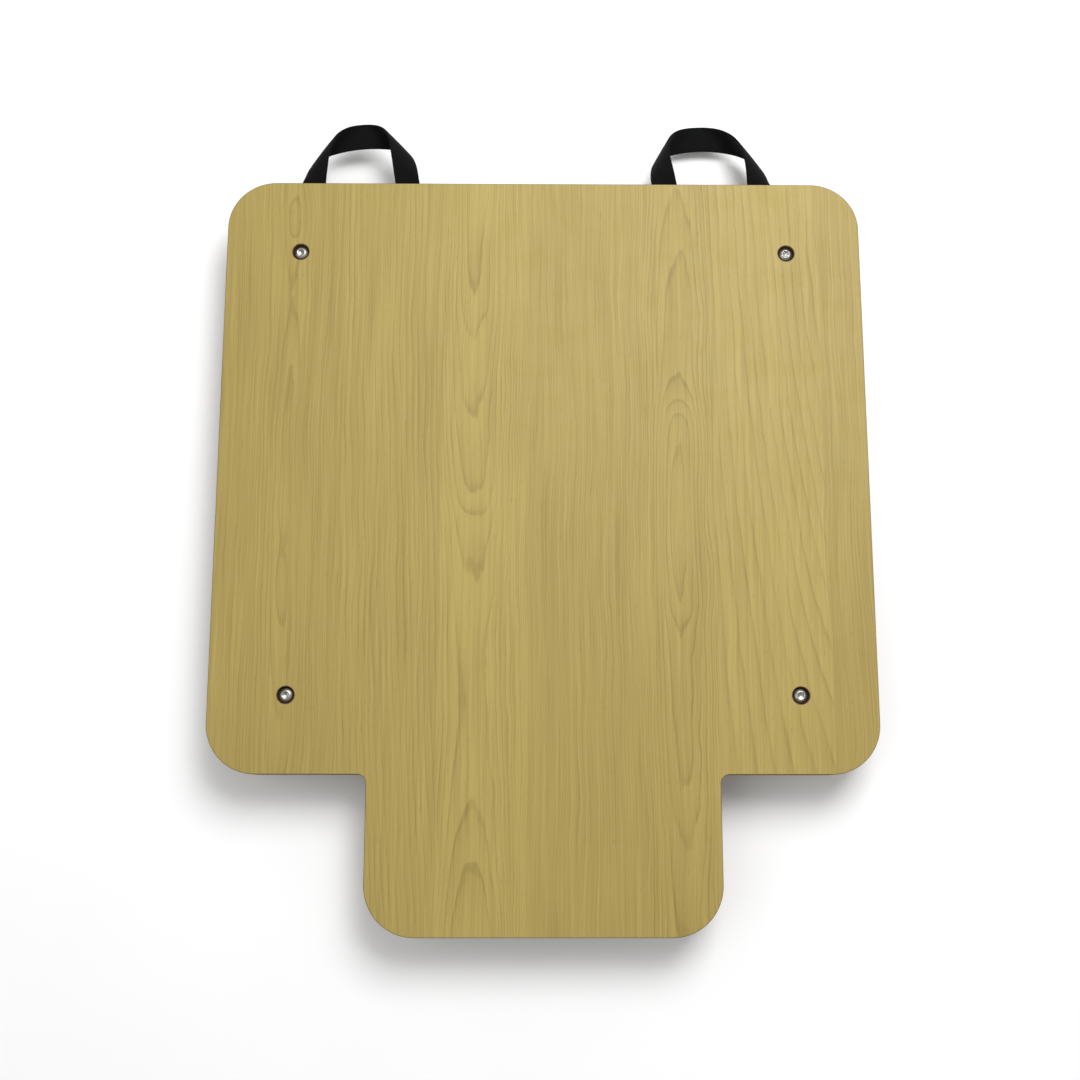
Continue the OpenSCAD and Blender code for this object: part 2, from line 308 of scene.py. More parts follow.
class Sheet:
    """A shader node tree that is written one node at a time."""

    def __init__(self, tree: Tree) -> None:
        """Starts writing in a tree.

        Args:
            tree: the tree to write in.
        """
        self.tree = tree

    def put(self, kind: str, **settings: object) -> Node:
        """Adds a node.

        Args:
            kind: its type, without the prefix that all shader nodes have.
            settings: its properties.

        Returns:
            The node.
        """
        node = self.tree.nodes.new("ShaderNode" + kind)
        for name, value in settings.items():
            setattr(node, name, value)
        return node

    def feed(self, socket: Socket, value: object) -> None:
        """Links a socket to another, or sets its value."""
        if isinstance(value, Socket):
            self.tree.links.new(value, socket)
        else:
            socket.default_value = value

    def math(self, operation: str, *values: Value, clamp: bool = False) -> Socket:
        """Adds a Math node.

        Args:
            operation: what it works out.
            values: its inputs.
            clamp: True keeps the result from 0 to 1.

        Returns:
            Its result.
        """
        node = self.put("Math", operation=operation, use_clamp=clamp)
        for socket, value in zip(node.inputs, values):
            self.feed(socket, value)
        return node.outputs[0]

    def add_share(self, base: Value, value: Value, share: Value) -> Socket:
        """Gives the base plus a share of a value."""
        return self.math("ADD", base, self.math("MULTIPLY", value, share))

    def take_share(self, base: Value, value: Value, share: Value) -> Socket:
        """Gives the base less a share of a value."""
        return self.math("SUBTRACT", base, self.math("MULTIPLY", value, share))

    def centred(self, value: Value) -> Socket:
        """Moves a value from around a half to around 0."""
        return self.math("SUBTRACT", value, 0.5)

    def split(self, vector: Socket) -> list[Socket]:
        """Gives the X, Y and Z of a vector."""
        node = self.put("SeparateXYZ")
        self.feed(node.inputs[0], vector)
        return list(node.outputs)

    def join(self, x: Value, y: Value, z: Value = 0.0) -> Socket:
        """Makes a vector of X, Y and Z."""
        node = self.put("CombineXYZ")
        for socket, value in zip(node.inputs, (x, y, z)):
            self.feed(socket, value)
        return node.outputs[0]

    def stretch(self, vector: Socket, scale: Sequence[float]) -> Socket:
        """Multiplies a vector by a scale for each axis."""
        node = self.put("VectorMath", operation="MULTIPLY")
        self.feed(node.inputs[0], vector)
        self.feed(node.inputs[1], tuple(scale))
        return node.outputs[0]

    def noise(self, vector: Socket, scale: float = 1.0, detail: float = 2.0) -> Socket:
        """Adds a noise texture.

        Args:
            vector: where it is read.
            scale: how fine it is.
            detail: number of finer layers.

        Returns:
            Its value, about 0.5 on average.
        """
        node = self.put("TexNoise")
        self.feed(node.inputs["Vector"], vector)
        self.feed(node.inputs["Scale"], scale)
        self.feed(node.inputs["Detail"], detail)
        return node.outputs[0]

    def band(
        self, value: Value, low: Value, high: Value, to_low: float = 0.0, to_high: float = 1.0
    ) -> Socket:
        """Maps a value smoothly from one range to another.

        Args:
            value: the value.
            low: where the result is to_low.
            high: where the result is to_high.
            to_low: result below low.
            to_high: result above high.

        Returns:
            The mapped value.
        """
        node = self.put("MapRange", interpolation_type="SMOOTHSTEP")
        for socket, item in zip(node.inputs, (value, low, high, to_low, to_high)):
            self.feed(socket, item)
        return node.outputs[0]

    def curve(self, value: Socket, points: Sequence[tuple[float, float]]) -> Socket:
        """Reads a smooth curve through a few points, each from 0 to 1 in both directions.

        Args:
            value: where it is read.
            points: the points, from 0 to 1.

        Returns:
            The curve's height there.
        """
        node = self.put("FloatCurve")
        line = node.mapping.curves[0]
        for place in points[1:-1]:
            line.points.new(*place)
        line.points[0].location = points[0]
        line.points[-1].location = points[-1]
        node.mapping.update()
        self.feed(node.inputs["Value"], value)
        return node.outputs[0]

    def blend(self, share: Value, first: object, second: object, kind: str = "RGBA") -> Socket:
        """Mixes two colours, vectors or values.

        Args:
            share: share of the second.
            first: the first.
            second: the second.
            kind: RGBA, VECTOR or FLOAT.

        Returns:
            The mix.
        """
        node = self.put("Mix", data_type=kind)
        used = [socket for socket in node.inputs if socket.enabled]
        for socket, value in zip(used, (share, first, second)):
            self.feed(socket, value)
        return [socket for socket in node.outputs if socket.enabled][0]

    def group(self, tree: Tree, **inputs: object) -> Node:
        """Places a node group.

        Args:
            tree: the group.
            inputs: its inputs by name, with an underscore for each space.

        Returns:
            The node.
        """
        node = self.put("Group")
        node.node_tree = tree
        for name, value in inputs.items():
            self.feed(node.inputs[name.replace("_", " ")], value)
        return node


def new_group(name: str, inputs: dict[str, float], outputs: Sequence[str]) -> tuple[Sheet, dict, dict]:
    """Starts a node group whose first input is a vector.

    Args:
        name: the group's name.
        inputs: the other inputs, with their usual values.
        outputs: the values that it puts out.

    Returns:
        Its sheet, its inputs by name and its outputs by name.
    """
    tree = bpy.data.node_groups.new(name, "ShaderNodeTree")
    tree.interface.new_socket(name="Vector", in_out="INPUT", socket_type="NodeSocketVector")
    for title, usual in inputs.items():
        made = tree.interface.new_socket(name=title, in_out="INPUT", socket_type="NodeSocketFloat")
        made.default_value = usual
    for title in outputs:
        tree.interface.new_socket(name=title, in_out="OUTPUT", socket_type="NodeSocketFloat")
    source = tree.nodes.new("NodeGroupInput")
    result = tree.nodes.new("NodeGroupOutput")
    names_in = {socket.name: socket for socket in source.outputs if socket.name}
    names_out = {socket.name: socket for socket in result.inputs if socket.name}
    return Sheet(tree), names_in, names_out


# ---- Wood figure ----


@dataclass(frozen=True)
class Flitch:
    """One strip of figured wood, with its growth lines as rings round an axis that dips and rises.

    A line is where the ring number, the root of (rate w + crowd w^2)^2 + depth(y)^2, is whole. Here
    w is the distance from the axis, and the crowd sets the lines closer away from it. Toward the
    tongue the axis moves by the sweep and the distances grow by the spread.
    """

    start: float
    axis: float
    rate: float
    tone: float
    contrast: float
    depth: tuple[tuple[float, float], ...] = ((-350.0, 0.0), (250.0, 0.0))
    sweep: float = 0.0
    spread: float = 0.0
    crowd: float = 0.0


# Strips from the left edge of the panel to the right. Lengths are from the panel's centre.
FLITCHES = (
    Flitch(-999.0, -170.0, 0.20, 0.10, 0.70, (
        (-350.0, 4.4), (-240.0, 3.2), (-163.0, 2.0), (-110.0, 1.0), (-78.0, 0.55), (-50.0, 0.85),
        (-27.0, 0.5), (10.0, 0.7), (67.0, 1.0), (120.0, 1.9), (158.0, 1.0), (173.0, 0.4), (190.0, 1.0),
        (250.0, 2.6)), crowd=0.008),
    Flitch(-133.0, -30.0, 0.25, 0.04, 0.75, ((-350.0, 1.0), (250.0, 4.0)), 24.0),
    Flitch(-68.0, -46.0, 0.16, -0.08, 1.0, (
        (-350.0, 4.2), (-300.0, 5.0), (-257.0, 6.0), (-218.0, 7.0), (-150.0, 7.7), (-77.0, 7.0),
        (-34.0, 6.0), (-17.0, 5.0), (32.0, 4.0), (89.0, 3.0), (121.0, 2.0), (180.0, 1.2),
        (250.0, 0.6)), crowd=0.009),
    Flitch(-10.0, -80.0, 0.52, 0.06, 0.50, ((-350.0, 0.0), (250.0, 0.0)), 3.0),
    Flitch(62.0, 90.0, 0.16, 0.02, 1.0, (
        (-350.0, 5.2), (-242.0, 4.0), (-209.0, 3.0), (-108.0, 2.0), (-88.0, 1.0), (-31.0, 0.2),
        (16.0, 1.0), (37.0, 2.0), (47.0, 3.0), (69.0, 4.0), (151.0, 5.0), (194.0, 6.0),
        (250.0, 7.2)), crowd=0.010),
    Flitch(112.0, 96.0, 0.17, -0.05, 0.8, ((-350.0, 0.0), (250.0, 0.0)), 6.0, 2.4),
    Flitch(186.0, 100.0, 0.42, 0.08, 0.55, ((-350.0, 0.0), (250.0, 0.0)), 6.0),
)
FIGURE_LOW, FIGURE_HIGH = -350.0, 250.0
FIGURE_LENGTH = FIGURE_HIGH - FIGURE_LOW
# Largest depth that a strip's curve can hold.
DEEPEST = 12.0
# How far the lines drift and shake sideways, in millimetres, and how far their rings waver.
DRIFT, SHAKE, WAVER = 8.0, 4.2, 0.8
# How late the sweep and spread set in toward the tongue.
SWING_POWER = 2.6
# Half the width of the seam between two strips, in millimetres.
SEAM = 0.8
# Darkness from one growth line to the next: it builds up slowly and ends sharply.
LINE_SHAPE = ((0.0, 0.2), (0.05, 0.0), (0.5, 0.14), (0.8, 0.42), (0.93, 1.0), (1.0, 0.3))


def build_figure() -> Tree:
    """Builds the wood figure: growth lines, fibres, flecks and the tone of each strip.

    Returns:
        The group. Its vector is in millimetres from the panel's centre, with the grain along Y.
    """
    sheet, given, out = new_group(
        "wood_figure", {"Wander": 1.0}, ("Line", "Fibre", "Fleck", "Tone", "Cloud", "Height"))
    vector = given["Vector"]
    x, y, _ = sheet.split(vector)
    slow = sheet.noise(sheet.stretch(vector, (0.016, 0.007, 0.0)), 1.0, 1.0)
    ragged = sheet.noise(sheet.stretch(vector, (0.10, 0.022, 0.0)), 1.0, 3.0)
    drift = sheet.math("MULTIPLY", sheet.centred(slow), DRIFT)
    shake = sheet.math("MULTIPLY", sheet.centred(ragged), SHAKE)
    wander = sheet.math("MULTIPLY", sheet.math("ADD", drift, shake), given["Wander"])
    across = sheet.math("ADD", x, wander)
    along = sheet.math("DIVIDE", sheet.math("SUBTRACT", y, FIGURE_LOW), FIGURE_LENGTH, clamp=True)
    forward = sheet.math("SUBTRACT", 1.0, along)
    swing = sheet.math("POWER", forward, SWING_POWER)
    jitter = sheet.math("MULTIPLY", sheet.centred(ragged), WAVER)
    mixed = None
    for flitch in FLITCHES:
        shape = [((at - FIGURE_LOW) / FIGURE_LENGTH, deep / DEEPEST) for at, deep in flitch.depth]
        side = sheet.math("SUBTRACT", across, flitch.axis)
        if flitch.sweep:
            side = sheet.take_share(side, swing, flitch.sweep)
        if flitch.spread:
            side = sheet.math("DIVIDE", side, sheet.add_share(1.0, swing, flitch.spread))
        depth = sheet.math("MULTIPLY", sheet.curve(along, shape), DEEPEST)
        depth = sheet.math("ADD", depth, jitter)
        side = sheet.math("ABSOLUTE", side)
        steep = sheet.add_share(flitch.rate, side, flitch.crowd)
        wide = sheet.math("POWER", sheet.math("MULTIPLY", side, steep), 2.0)
        ring = sheet.math("SQRT", sheet.math("ADD", wide, sheet.math("MULTIPLY", depth, depth)))
        share = sheet.math("FRACT", ring)
        line = sheet.curve(share, LINE_SHAPE)
        patch = sheet.join(sheet.math("MULTIPLY", line, flitch.contrast), flitch.tone, 0.0)
        if mixed is None:
            mixed = patch
        else:
            edge = sheet.band(x, flitch.start - SEAM, flitch.start + SEAM)
            mixed = sheet.blend(edge, mixed, patch, "VECTOR")
    line, tone, _ = sheet.split(mixed)
    fade = sheet.band(sheet.noise(sheet.stretch(vector, (0.05, 0.012, 0.0)), 1.0, 2.0), 0.3, 0.62, 0.35, 1.0)
    moved = sheet.join(across, y, 0.0)
    fibre = sheet.noise(sheet.stretch(moved, (0.42, 0.006, 0.0)), 1.0, 5.0)
    fine = sheet.noise(sheet.stretch(moved, (1.1, 0.012, 0.0)), 1.0, 4.0)
    both = sheet.add_share(sheet.math("MULTIPLY", fibre, 0.5), fine, 0.5)
    fleck = sheet.band(sheet.noise(sheet.stretch(moved, (1.5, 0.16, 0.0)), 1.0, 2.0), 0.63, 0.74)
    cloud = sheet.noise(sheet.stretch(vector, (0.030, 0.006, 0.0)), 1.0, 2.0)
    sheet.feed(out["Line"], sheet.math("MULTIPLY", line, fade))
    sheet.feed(out["Fibre"], both)
    sheet.feed(out["Fleck"], fleck)
    sheet.feed(out["Tone"], tone)
    sheet.feed(out["Cloud"], cloud)
    sheet.feed(out["Height"], sheet.take_share(both, line, 0.4))
    return sheet.tree


def build_scuffs() -> Tree:
    """Builds handling marks: fine hairlines in two directions and soft rubbed patches.

    Returns:
        The group. Its vector is in millimetres, and Fineness multiplies it.
    """
    sheet, given, out = new_group("scuffs", {"Fineness": 1.0}, ("Hairline", "Patch"))
    node = sheet.put("VectorMath", operation="SCALE")
    sheet.feed(node.inputs[0], given["Vector"])
    sheet.feed(node.inputs["Scale"], given["Fineness"])
    vector = node.outputs[0]
    lines = []
    for turn, seed in ((0.5, 3.0), (2.1, 17.0)):
        turned_to = sheet.put("Mapping")
        sheet.feed(turned_to.inputs["Vector"], vector)
        turned_to.inputs["Rotation"].default_value = (0.2, 0.1, turn)
        turned_to.inputs["Location"].default_value = (seed, seed, seed)
        long = sheet.stretch(turned_to.outputs[0], (1.4, 0.03, 0.4))
        thin = sheet.math("ABSOLUTE", sheet.centred(sheet.noise(long, 1.0, 2.0)))
        gate = sheet.band(sheet.noise(turned_to.outputs[0], 0.11, 1.0), 0.55, 0.68)
        lines.append(sheet.math("MULTIPLY", sheet.band(thin, 0.0, 0.012, 1.0, 0.0), gate))
    sheet.feed(out["Hairline"], sheet.math("MAXIMUM", *lines))
    sheet.feed(out["Patch"], sheet.band(sheet.noise(vector, 0.05, 4.0), 0.45, 0.7))
    return sheet.tree


def build_turning() -> Tree:
    """Builds turning marks: fine rings round a piece's own axis, uneven from ring to ring.

    Returns:
        The group. Its vector is the piece's own place, in millimetres, with the axis along Z.
    """
    sheet, given, out = new_group("turning_marks", {"Pitch": 0.12}, ("Ring", "Stain"))
    x, y, z = sheet.split(given["Vector"])
    radius = sheet.math("SQRT", sheet.add_share(sheet.math("MULTIPLY", x, x), y, y))
    travel = sheet.math("DIVIDE", sheet.math("ADD", radius, z), given["Pitch"])
    ring = sheet.noise(sheet.join(travel, 0.0, 0.0), 1.0, 3.0)
    sheet.feed(out["Ring"], ring)
    sheet.feed(out["Stain"], sheet.noise(given["Vector"], 0.6, 4.0))
    return sheet.tree


def build_fibres() -> Tree:
    """Builds the yarn of the webbing: filaments along each bundle, slubs and loose fuzz.

    Returns:
        The group. Its vector is place across and along the webbing, in millimetres.
    """
    sheet, given, out = new_group("yarn", {"Count": 9.0}, ("Filament", "Slub", "Fuzz"))
    node = sheet.put("VectorMath", operation="SCALE")
    sheet.feed(node.inputs[0], sheet.stretch(given["Vector"], (1.0, 0.14, 1.0)))
    sheet.feed(node.inputs["Scale"], given["Count"])
    sheet.feed(out["Filament"], sheet.noise(node.outputs[0], 1.0, 2.0))
    sheet.feed(out["Slub"], sheet.noise(sheet.stretch(given["Vector"], (0.8, 0.22, 1.0)), 1.0, 3.0))
    sheet.feed(out["Fuzz"], sheet.band(sheet.noise(given["Vector"], 3.1, 4.0), 0.6, 0.75))
    return sheet.tree


@dataclass(frozen=True)
class Groups:
    """The node groups that more than one material uses."""

    figure: Tree
    scuffs: Tree
    turning: Tree
    yarn: Tree


# ---- Finishes ----


def linear(red: int, green: int, blue: int) -> tuple[float, float, float, float]:
    """Turns a display colour, each part from 0 to 255, into a linear one."""
    parts = [part / 255 for part in (red, green, blue)]
    return tuple(p / 12.92 if p <= 0.04045 else ((p + 0.055) / 1.055) ** 2.4 for p in parts) + (1.0,)


@dataclass(frozen=True)
class Finish:
    """What every finish has: a name, a roughness, a metal share and a specular level."""

    name: str
    roughness: float
    metal: float = 0.0
    specular: float = 0.5

    def start(self) -> tuple[Material, Sheet, Node]:
        """Makes the material with its shader.

        Returns:
            The material, its sheet and its Principled shader.
        """
        material = bpy.data.materials.new(self.name)
        material.use_nodes = True
        material.node_tree.nodes.clear()
        sheet = Sheet(material.node_tree)
        shader = sheet.put("BsdfPrincipled")
        shader.inputs["Roughness"].default_value = self.roughness
        shader.inputs["Metallic"].default_value = self.metal
        shader.inputs["Specular IOR Level"].default_value = self.specular
        result = sheet.put("OutputMaterial")
        sheet.feed(result.inputs["Surface"], shader.outputs[0])
        return material, sheet, shader

    def make(self, groups: Groups) -> Material:
        """Makes the material.

        Args:
            groups: the shared node groups.

        Returns:
            The material.
        """
        material, sheet, shader = self.start()
        self.write(sheet, shader, groups)
        return material

    def write(self, sheet: Sheet, shader: Node, groups: Groups) -> None:
        """Writes what the shader reads. A plain finish adds nothing."""

    @staticmethod
    def millimetres(sheet: Sheet, move: Sequence[float] = (0.0, 0.0, 0.0), turn: float = 0.0) -> Socket:
        """Reads the place in the frame in millimetres.

        Args:
            sheet: the material's sheet.
            move: added to the place, in millimetres.
            turn: turn about Z, in radians.

        Returns:
            The place.
        """
        place = sheet.put("TexCoord")
        mapping = sheet.put("Mapping")
        mapping.inputs["Scale"].default_value = (1 / MM, 1 / MM, 1 / MM)
        mapping.inputs["Location"].default_value = tuple(move)
        mapping.inputs["Rotation"].default_value = (0.0, 0.0, turn)
        sheet.feed(mapping.inputs["Vector"], place.outputs["Object"])
        return mapping.outputs[0]

    @staticmethod
    def own_place(sheet: Sheet) -> Socket:
        """Reads the piece's own place, kept with its points."""
        return sheet.put("Attribute", attribute_name="place").outputs["Vector"]

    @staticmethod
    def emboss(sheet: Sheet, shader: Node, height: Value, depth: float, strength: float = 1.0) -> None:
        """Adds a bump.

        Args:
            sheet: the material's sheet.
            shader: its shader.
            height: the height, from 0 to 1.
            depth: the height's size in millimetres.
            strength: share of the bump that shows.
        """
        bump = sheet.put("Bump")
        bump.inputs["Strength"].default_value = strength
        bump.inputs["Distance"].default_value = depth * MM
        sheet.feed(bump.inputs["Height"], height)
        sheet.feed(shader.inputs["Normal"], bump.outputs[0])


@dataclass(frozen=True)
class LaminateFinish(Finish):
    """Wood-figured laminate with a satin face."""

    light: tuple = linear(170, 151, 84)
    dark: tuple = linear(126, 106, 49)
    pore: tuple = linear(112, 92, 44)
    move: tuple[float, float, float] = (0.0, 0.0, 0.0)
    turn: float = 0.0

    def write(self, sheet: Sheet, shader: Node, groups: Groups) -> None:
        """Writes the colour, roughness and bump."""
        place = self.millimetres(sheet, self.move, self.turn)
        figure = sheet.group(groups.figure, Vector=place).outputs
        marks = sheet.group(groups.scuffs, Vector=place, Fineness=1.0).outputs
        shade = sheet.add_share(0.20, figure["Line"], 0.40)
        shade = sheet.math("ADD", shade, figure["Tone"])
        shade = sheet.add_share(shade, sheet.centred(figure["Fibre"]), 1.5)
        shade = sheet.add_share(shade, sheet.centred(figure["Cloud"]), 0.30)
        colour = sheet.blend(sheet.math("ADD", shade, 0.0, clamp=True), self.light, self.dark)
        colour = sheet.blend(sheet.math("MULTIPLY", figure["Fleck"], 0.30), colour, self.pore)
        sheet.feed(shader.inputs["Base Color"], colour)
        rough = sheet.add_share(self.roughness, figure["Fibre"], 0.10)
        rough = sheet.add_share(rough, marks["Patch"], 0.06)
        rough = sheet.take_share(rough, marks["Hairline"], 0.10)
        sheet.feed(shader.inputs["Roughness"], rough)
        self.emboss(sheet, shader, figure["Height"], 0.035)


@dataclass(frozen=True)
class EdgeFinish(Finish):
    """A machined and sealed edge: dark fibre with cutter marks and paler rubbed spots."""

    dark: tuple = linear(66, 46, 27)
    light: tuple = linear(110, 82, 50)
    layers: float = 0.0

    def write(self, sheet: Sheet, shader: Node, groups: Groups) -> None:
        """Writes the colour, roughness and bump."""
        place = self.millimetres(sheet)
        marks = sheet.group(groups.scuffs, Vector=place, Fineness=1.6).outputs
        fibre = sheet.noise(sheet.stretch(place, (0.8, 0.8, 2.6)), 1.0, 5.0)
        chatter = sheet.noise(sheet.stretch(place, (0.9, 0.9, 0.02)), 1.0, 2.0)
        _, _, height = sheet.split(place)
        layer = sheet.noise(sheet.join(sheet.math("MULTIPLY", height, 1.7), 0.0, 0.0), 1.0, 2.0)
        shade = sheet.add_share(sheet.math("MULTIPLY", fibre, 0.7), chatter, 0.3)
        shade = sheet.add_share(shade, sheet.centred(layer), self.layers)
        shade = sheet.band(shade, 0.32, 0.72)
        colour = sheet.blend(shade, self.dark, self.light)
        colour = sheet.blend(sheet.math("MULTIPLY", marks["Hairline"], 0.4), colour, linear(158, 124, 88))
        sheet.feed(shader.inputs["Base Color"], colour)
        sheet.feed(shader.inputs["Roughness"], sheet.add_share(self.roughness, fibre, 0.2))
        self.emboss(sheet, shader, sheet.math("ADD", fibre, chatter), 0.02, 0.6)


@dataclass(frozen=True)
class RubberFinish(Finish):
    """Moulded black rubber with a bloom, hairlines and floor dust low down."""

    base: tuple = linear(34, 34, 35)
    bloom: tuple = linear(62, 61, 60)
    dust: tuple = linear(104, 99, 90)

    def write(self, sheet: Sheet, shader: Node, groups: Groups) -> None:
        """Writes the colour, roughness and bump."""
        place = self.own_place(sheet)
        marks = sheet.group(groups.scuffs, Vector=place, Fineness=2.2).outputs
        mottle = sheet.noise(place, 0.35, 5.0)
        grit = sheet.noise(place, 1.7, 6.0)
        _, _, height = sheet.split(place)
        colour = sheet.blend(sheet.band(mottle, 0.35, 0.72), self.base, self.bloom)
        low = sheet.band(sheet.add_share(height, mottle, 5.0), 2.2, 5.6, 1.0, 0.0)
        dusty = sheet.math("MULTIPLY", low, sheet.band(grit, 0.25, 0.8, 0.02, 0.4))
        colour = sheet.blend(dusty, colour, self.dust)
        colour = sheet.blend(sheet.math("MULTIPLY", marks["Hairline"], 0.35), colour, self.dust)
        sheet.feed(shader.inputs["Base Color"], colour)
        rough = sheet.add_share(self.roughness, mottle, 0.22)
        sheet.feed(shader.inputs["Roughness"], rough)
        self.emboss(sheet, shader, sheet.add_share(grit, mottle, 0.5), 0.05, 0.7)


@dataclass(frozen=True)
class SteelFinish(Finish):
    """Plated steel with turning marks, hairlines and a faint stain."""

    bright: tuple = linear(178, 175, 168)
    dull: tuple = linear(126, 122, 114)
    pitch: float = 0.12
    depth: float = 0.006

    def write(self, sheet: Sheet, shader: Node, groups: Groups) -> None:
        """Writes the colour, roughness and bump."""
        place = self.own_place(sheet)
        turning = sheet.group(groups.turning, Vector=place, Pitch=self.pitch).outputs
        marks = sheet.group(groups.scuffs, Vector=place, Fineness=5.0).outputs
        stain = sheet.band(turning["Stain"], 0.42, 0.72)
        sheet.feed(shader.inputs["Base Color"], sheet.blend(stain, self.bright, self.dull))
        rough = sheet.add_share(self.roughness, stain, 0.16)
        rough = sheet.add_share(rough, turning["Ring"], 0.08)
        rough = sheet.add_share(rough, marks["Hairline"], 0.15)
        sheet.feed(shader.inputs["Roughness"], rough)
        height = sheet.take_share(turning["Ring"], marks["Hairline"], 0.6)
        self.emboss(sheet, shader, height, self.depth)


@dataclass(frozen=True)
class NylonFinish(Finish):
    """Milky nylon with duller patches and fine rings."""

    base: tuple = linear(226, 224, 212)
    worn: tuple = linear(196, 190, 172)

    def write(self, sheet: Sheet, shader: Node, groups: Groups) -> None:
        """Writes the colour, roughness and bump."""
        place = self.own_place(sheet)
        turning = sheet.group(groups.turning, Vector=place, Pitch=0.3).outputs
        shade = sheet.band(turning["Stain"], 0.4, 0.75)
        sheet.feed(shader.inputs["Base Color"], sheet.blend(shade, self.base, self.worn))
        sheet.feed(shader.inputs["Roughness"], sheet.add_share(self.roughness, shade, 0.2))
        shader.inputs["Subsurface Weight"].default_value = 0.15
        shader.inputs["Subsurface Radius"].default_value = (0.8 * MM, 0.8 * MM, 0.7 * MM)
        self.emboss(sheet, shader, turning["Ring"], 0.02)


@dataclass(frozen=True)
class WebbingFinish(Finish):
    """Black polyester webbing: filaments, slubs and a little grey fuzz."""

    base: tuple = linear(4, 5, 5)
    raised: tuple = linear(10, 12, 11)
    fuzz: tuple = linear(28, 30, 29)

    def write(self, sheet: Sheet, shader: Node, groups: Groups) -> None:
        """Writes the colour, roughness and bump."""
        place = self.own_place(sheet)
        yarn = sheet.group(groups.yarn, Vector=place, Count=9.0).outputs
        colour = sheet.blend(sheet.band(yarn["Filament"], 0.35, 0.7), self.base, self.raised)
        slub = sheet.math("MULTIPLY", sheet.band(yarn["Slub"], 0.5, 0.7), 0.35)
        colour = sheet.blend(slub, colour, self.raised)
        colour = sheet.blend(sheet.math("MULTIPLY", yarn["Fuzz"], 0.22), colour, self.fuzz)
        sheet.feed(shader.inputs["Base Color"], colour)
        rough = sheet.add_share(self.roughness, yarn["Filament"], 0.16)
        sheet.feed(shader.inputs["Roughness"], rough)
        shader.inputs["Sheen Weight"].default_value = 0.03
        shader.inputs["Sheen Roughness"].default_value = 0.5
        height = sheet.add_share(yarn["Filament"], yarn["Slub"], 0.5)
        self.emboss(sheet, shader, height, 0.06)


@dataclass(frozen=True)
class Palette:
    """The materials that the pieces wear."""

    top: Material
    underside: Material
    laminate_edge: Material
    core: Material
    rubber: Material
    bright_steel: Material
    zinc: Material
    nylon: Material
    webbing: Material


def build_palette(panel_y: float) -> Palette:
    """Makes every material.

    Args:
        panel_y: place of the wide panel's centre along Y, in millimetres.

    Returns:
        The materials.
    """
    groups = Groups(build_figure(), build_scuffs(), build_turning(), build_fibres())
    return Palette(
        top=LaminateFinish("laminate_top", 0.44, specular=0.28, move=(0.0, -panel_y, 0.0)).make(groups),
        underside=LaminateFinish(
            "laminate_underside", 0.46, specular=0.28, move=(31.0, panel_y, 0.0), turn=math.pi).make(groups),
        laminate_edge=EdgeFinish(
            "laminate_edge", 0.5, specular=0.3,
            dark=linear(74, 52, 29), light=linear(112, 84, 49)).make(groups),
        core=EdgeFinish("core_edge", 0.56, specular=0.3, layers=0.5).make(groups),
        rubber=RubberFinish("foot_rubber", 0.62, specular=0.4).make(groups),
        bright_steel=SteelFinish("bright_steel", 0.32, metal=1.0).make(groups),
        zinc=SteelFinish(
            "zinc_steel", 0.3, metal=1.0, bright=linear(186, 188, 187), dull=linear(160, 161, 156),
            pitch=0.2, depth=0.01).make(groups),
        nylon=NylonFinish("ring_nylon", 0.4).make(groups),
        webbing=WebbingFinish("strap_webbing", 0.72, specular=0.12).make(groups),
    )


# ---- Board ----


@dataclass(frozen=True)
class Corner:
    """One round corner of the outline: its arc's centre, radius and first direction in degrees."""

    x: float
    y: float
    radius: float
    start: float
    hollow: bool = False


@dataclass
class Outline:
    """The T-shaped outline, worked out from the board's box, its tongue and its corners."""

    low: Array
    high: Array
    tongue_width: float = 225.0
    tongue_length: float = 100.0
    corner: float = 32.0
    inner: float = 5.5
    steps: int = 20

    def corners(self) -> list[Corner]:
        """Lists the corners, turning to the left from the back right one."""
        outer, inner = self.corner, self.inner
        wide, back = self.high[0] - outer, self.high[1] - outer
        shoulder = self.low[1] + self.tongue_length
        narrow = self.tongue_width / 2
        front = self.low[1] + outer
        return [
            Corner(wide, back, outer, 0),
            Corner(-wide, back, outer, 90),
            Corner(-wide, shoulder + outer, outer, 180),
            Corner(-narrow - inner, shoulder - inner, inner, 90, True),
            Corner(-narrow + outer, front, outer, 180),
            Corner(narrow - outer, front, outer, 270),
            Corner(narrow + inner, shoulder - inner, inner, 180, True),
            Corner(wide, shoulder + outer, outer, 270),
        ]

    def trace(self) -> tuple[Array, Array]:
        """Traces the outline: each corner is an arc, and straight edges join them.

        Returns:
            The points, and the outward direction at each.
        """
        share = np.linspace(0, 1, self.steps + 1)
        points, outward = [], []
        for corner in self.corners():
            sense = -1 if corner.hollow else 1
            angle = np.radians(corner.start + sense * 90 * share)
            ray = np.stack([np.cos(angle), np.sin(angle)], axis=1)
            points.append(np.array([corner.x, corner.y]) + corner.radius * ray)
            outward.append(sense * ray)
        return np.concatenate(points), np.concatenate(outward)


@dataclass
class Hole:
    """A round hole: its centre, its wall, and whether it ends blind.

    The wall is radius and height, from the top down.
    """

    centre: Array
    wall: Array
    blind: bool = False
    columns: int = 48


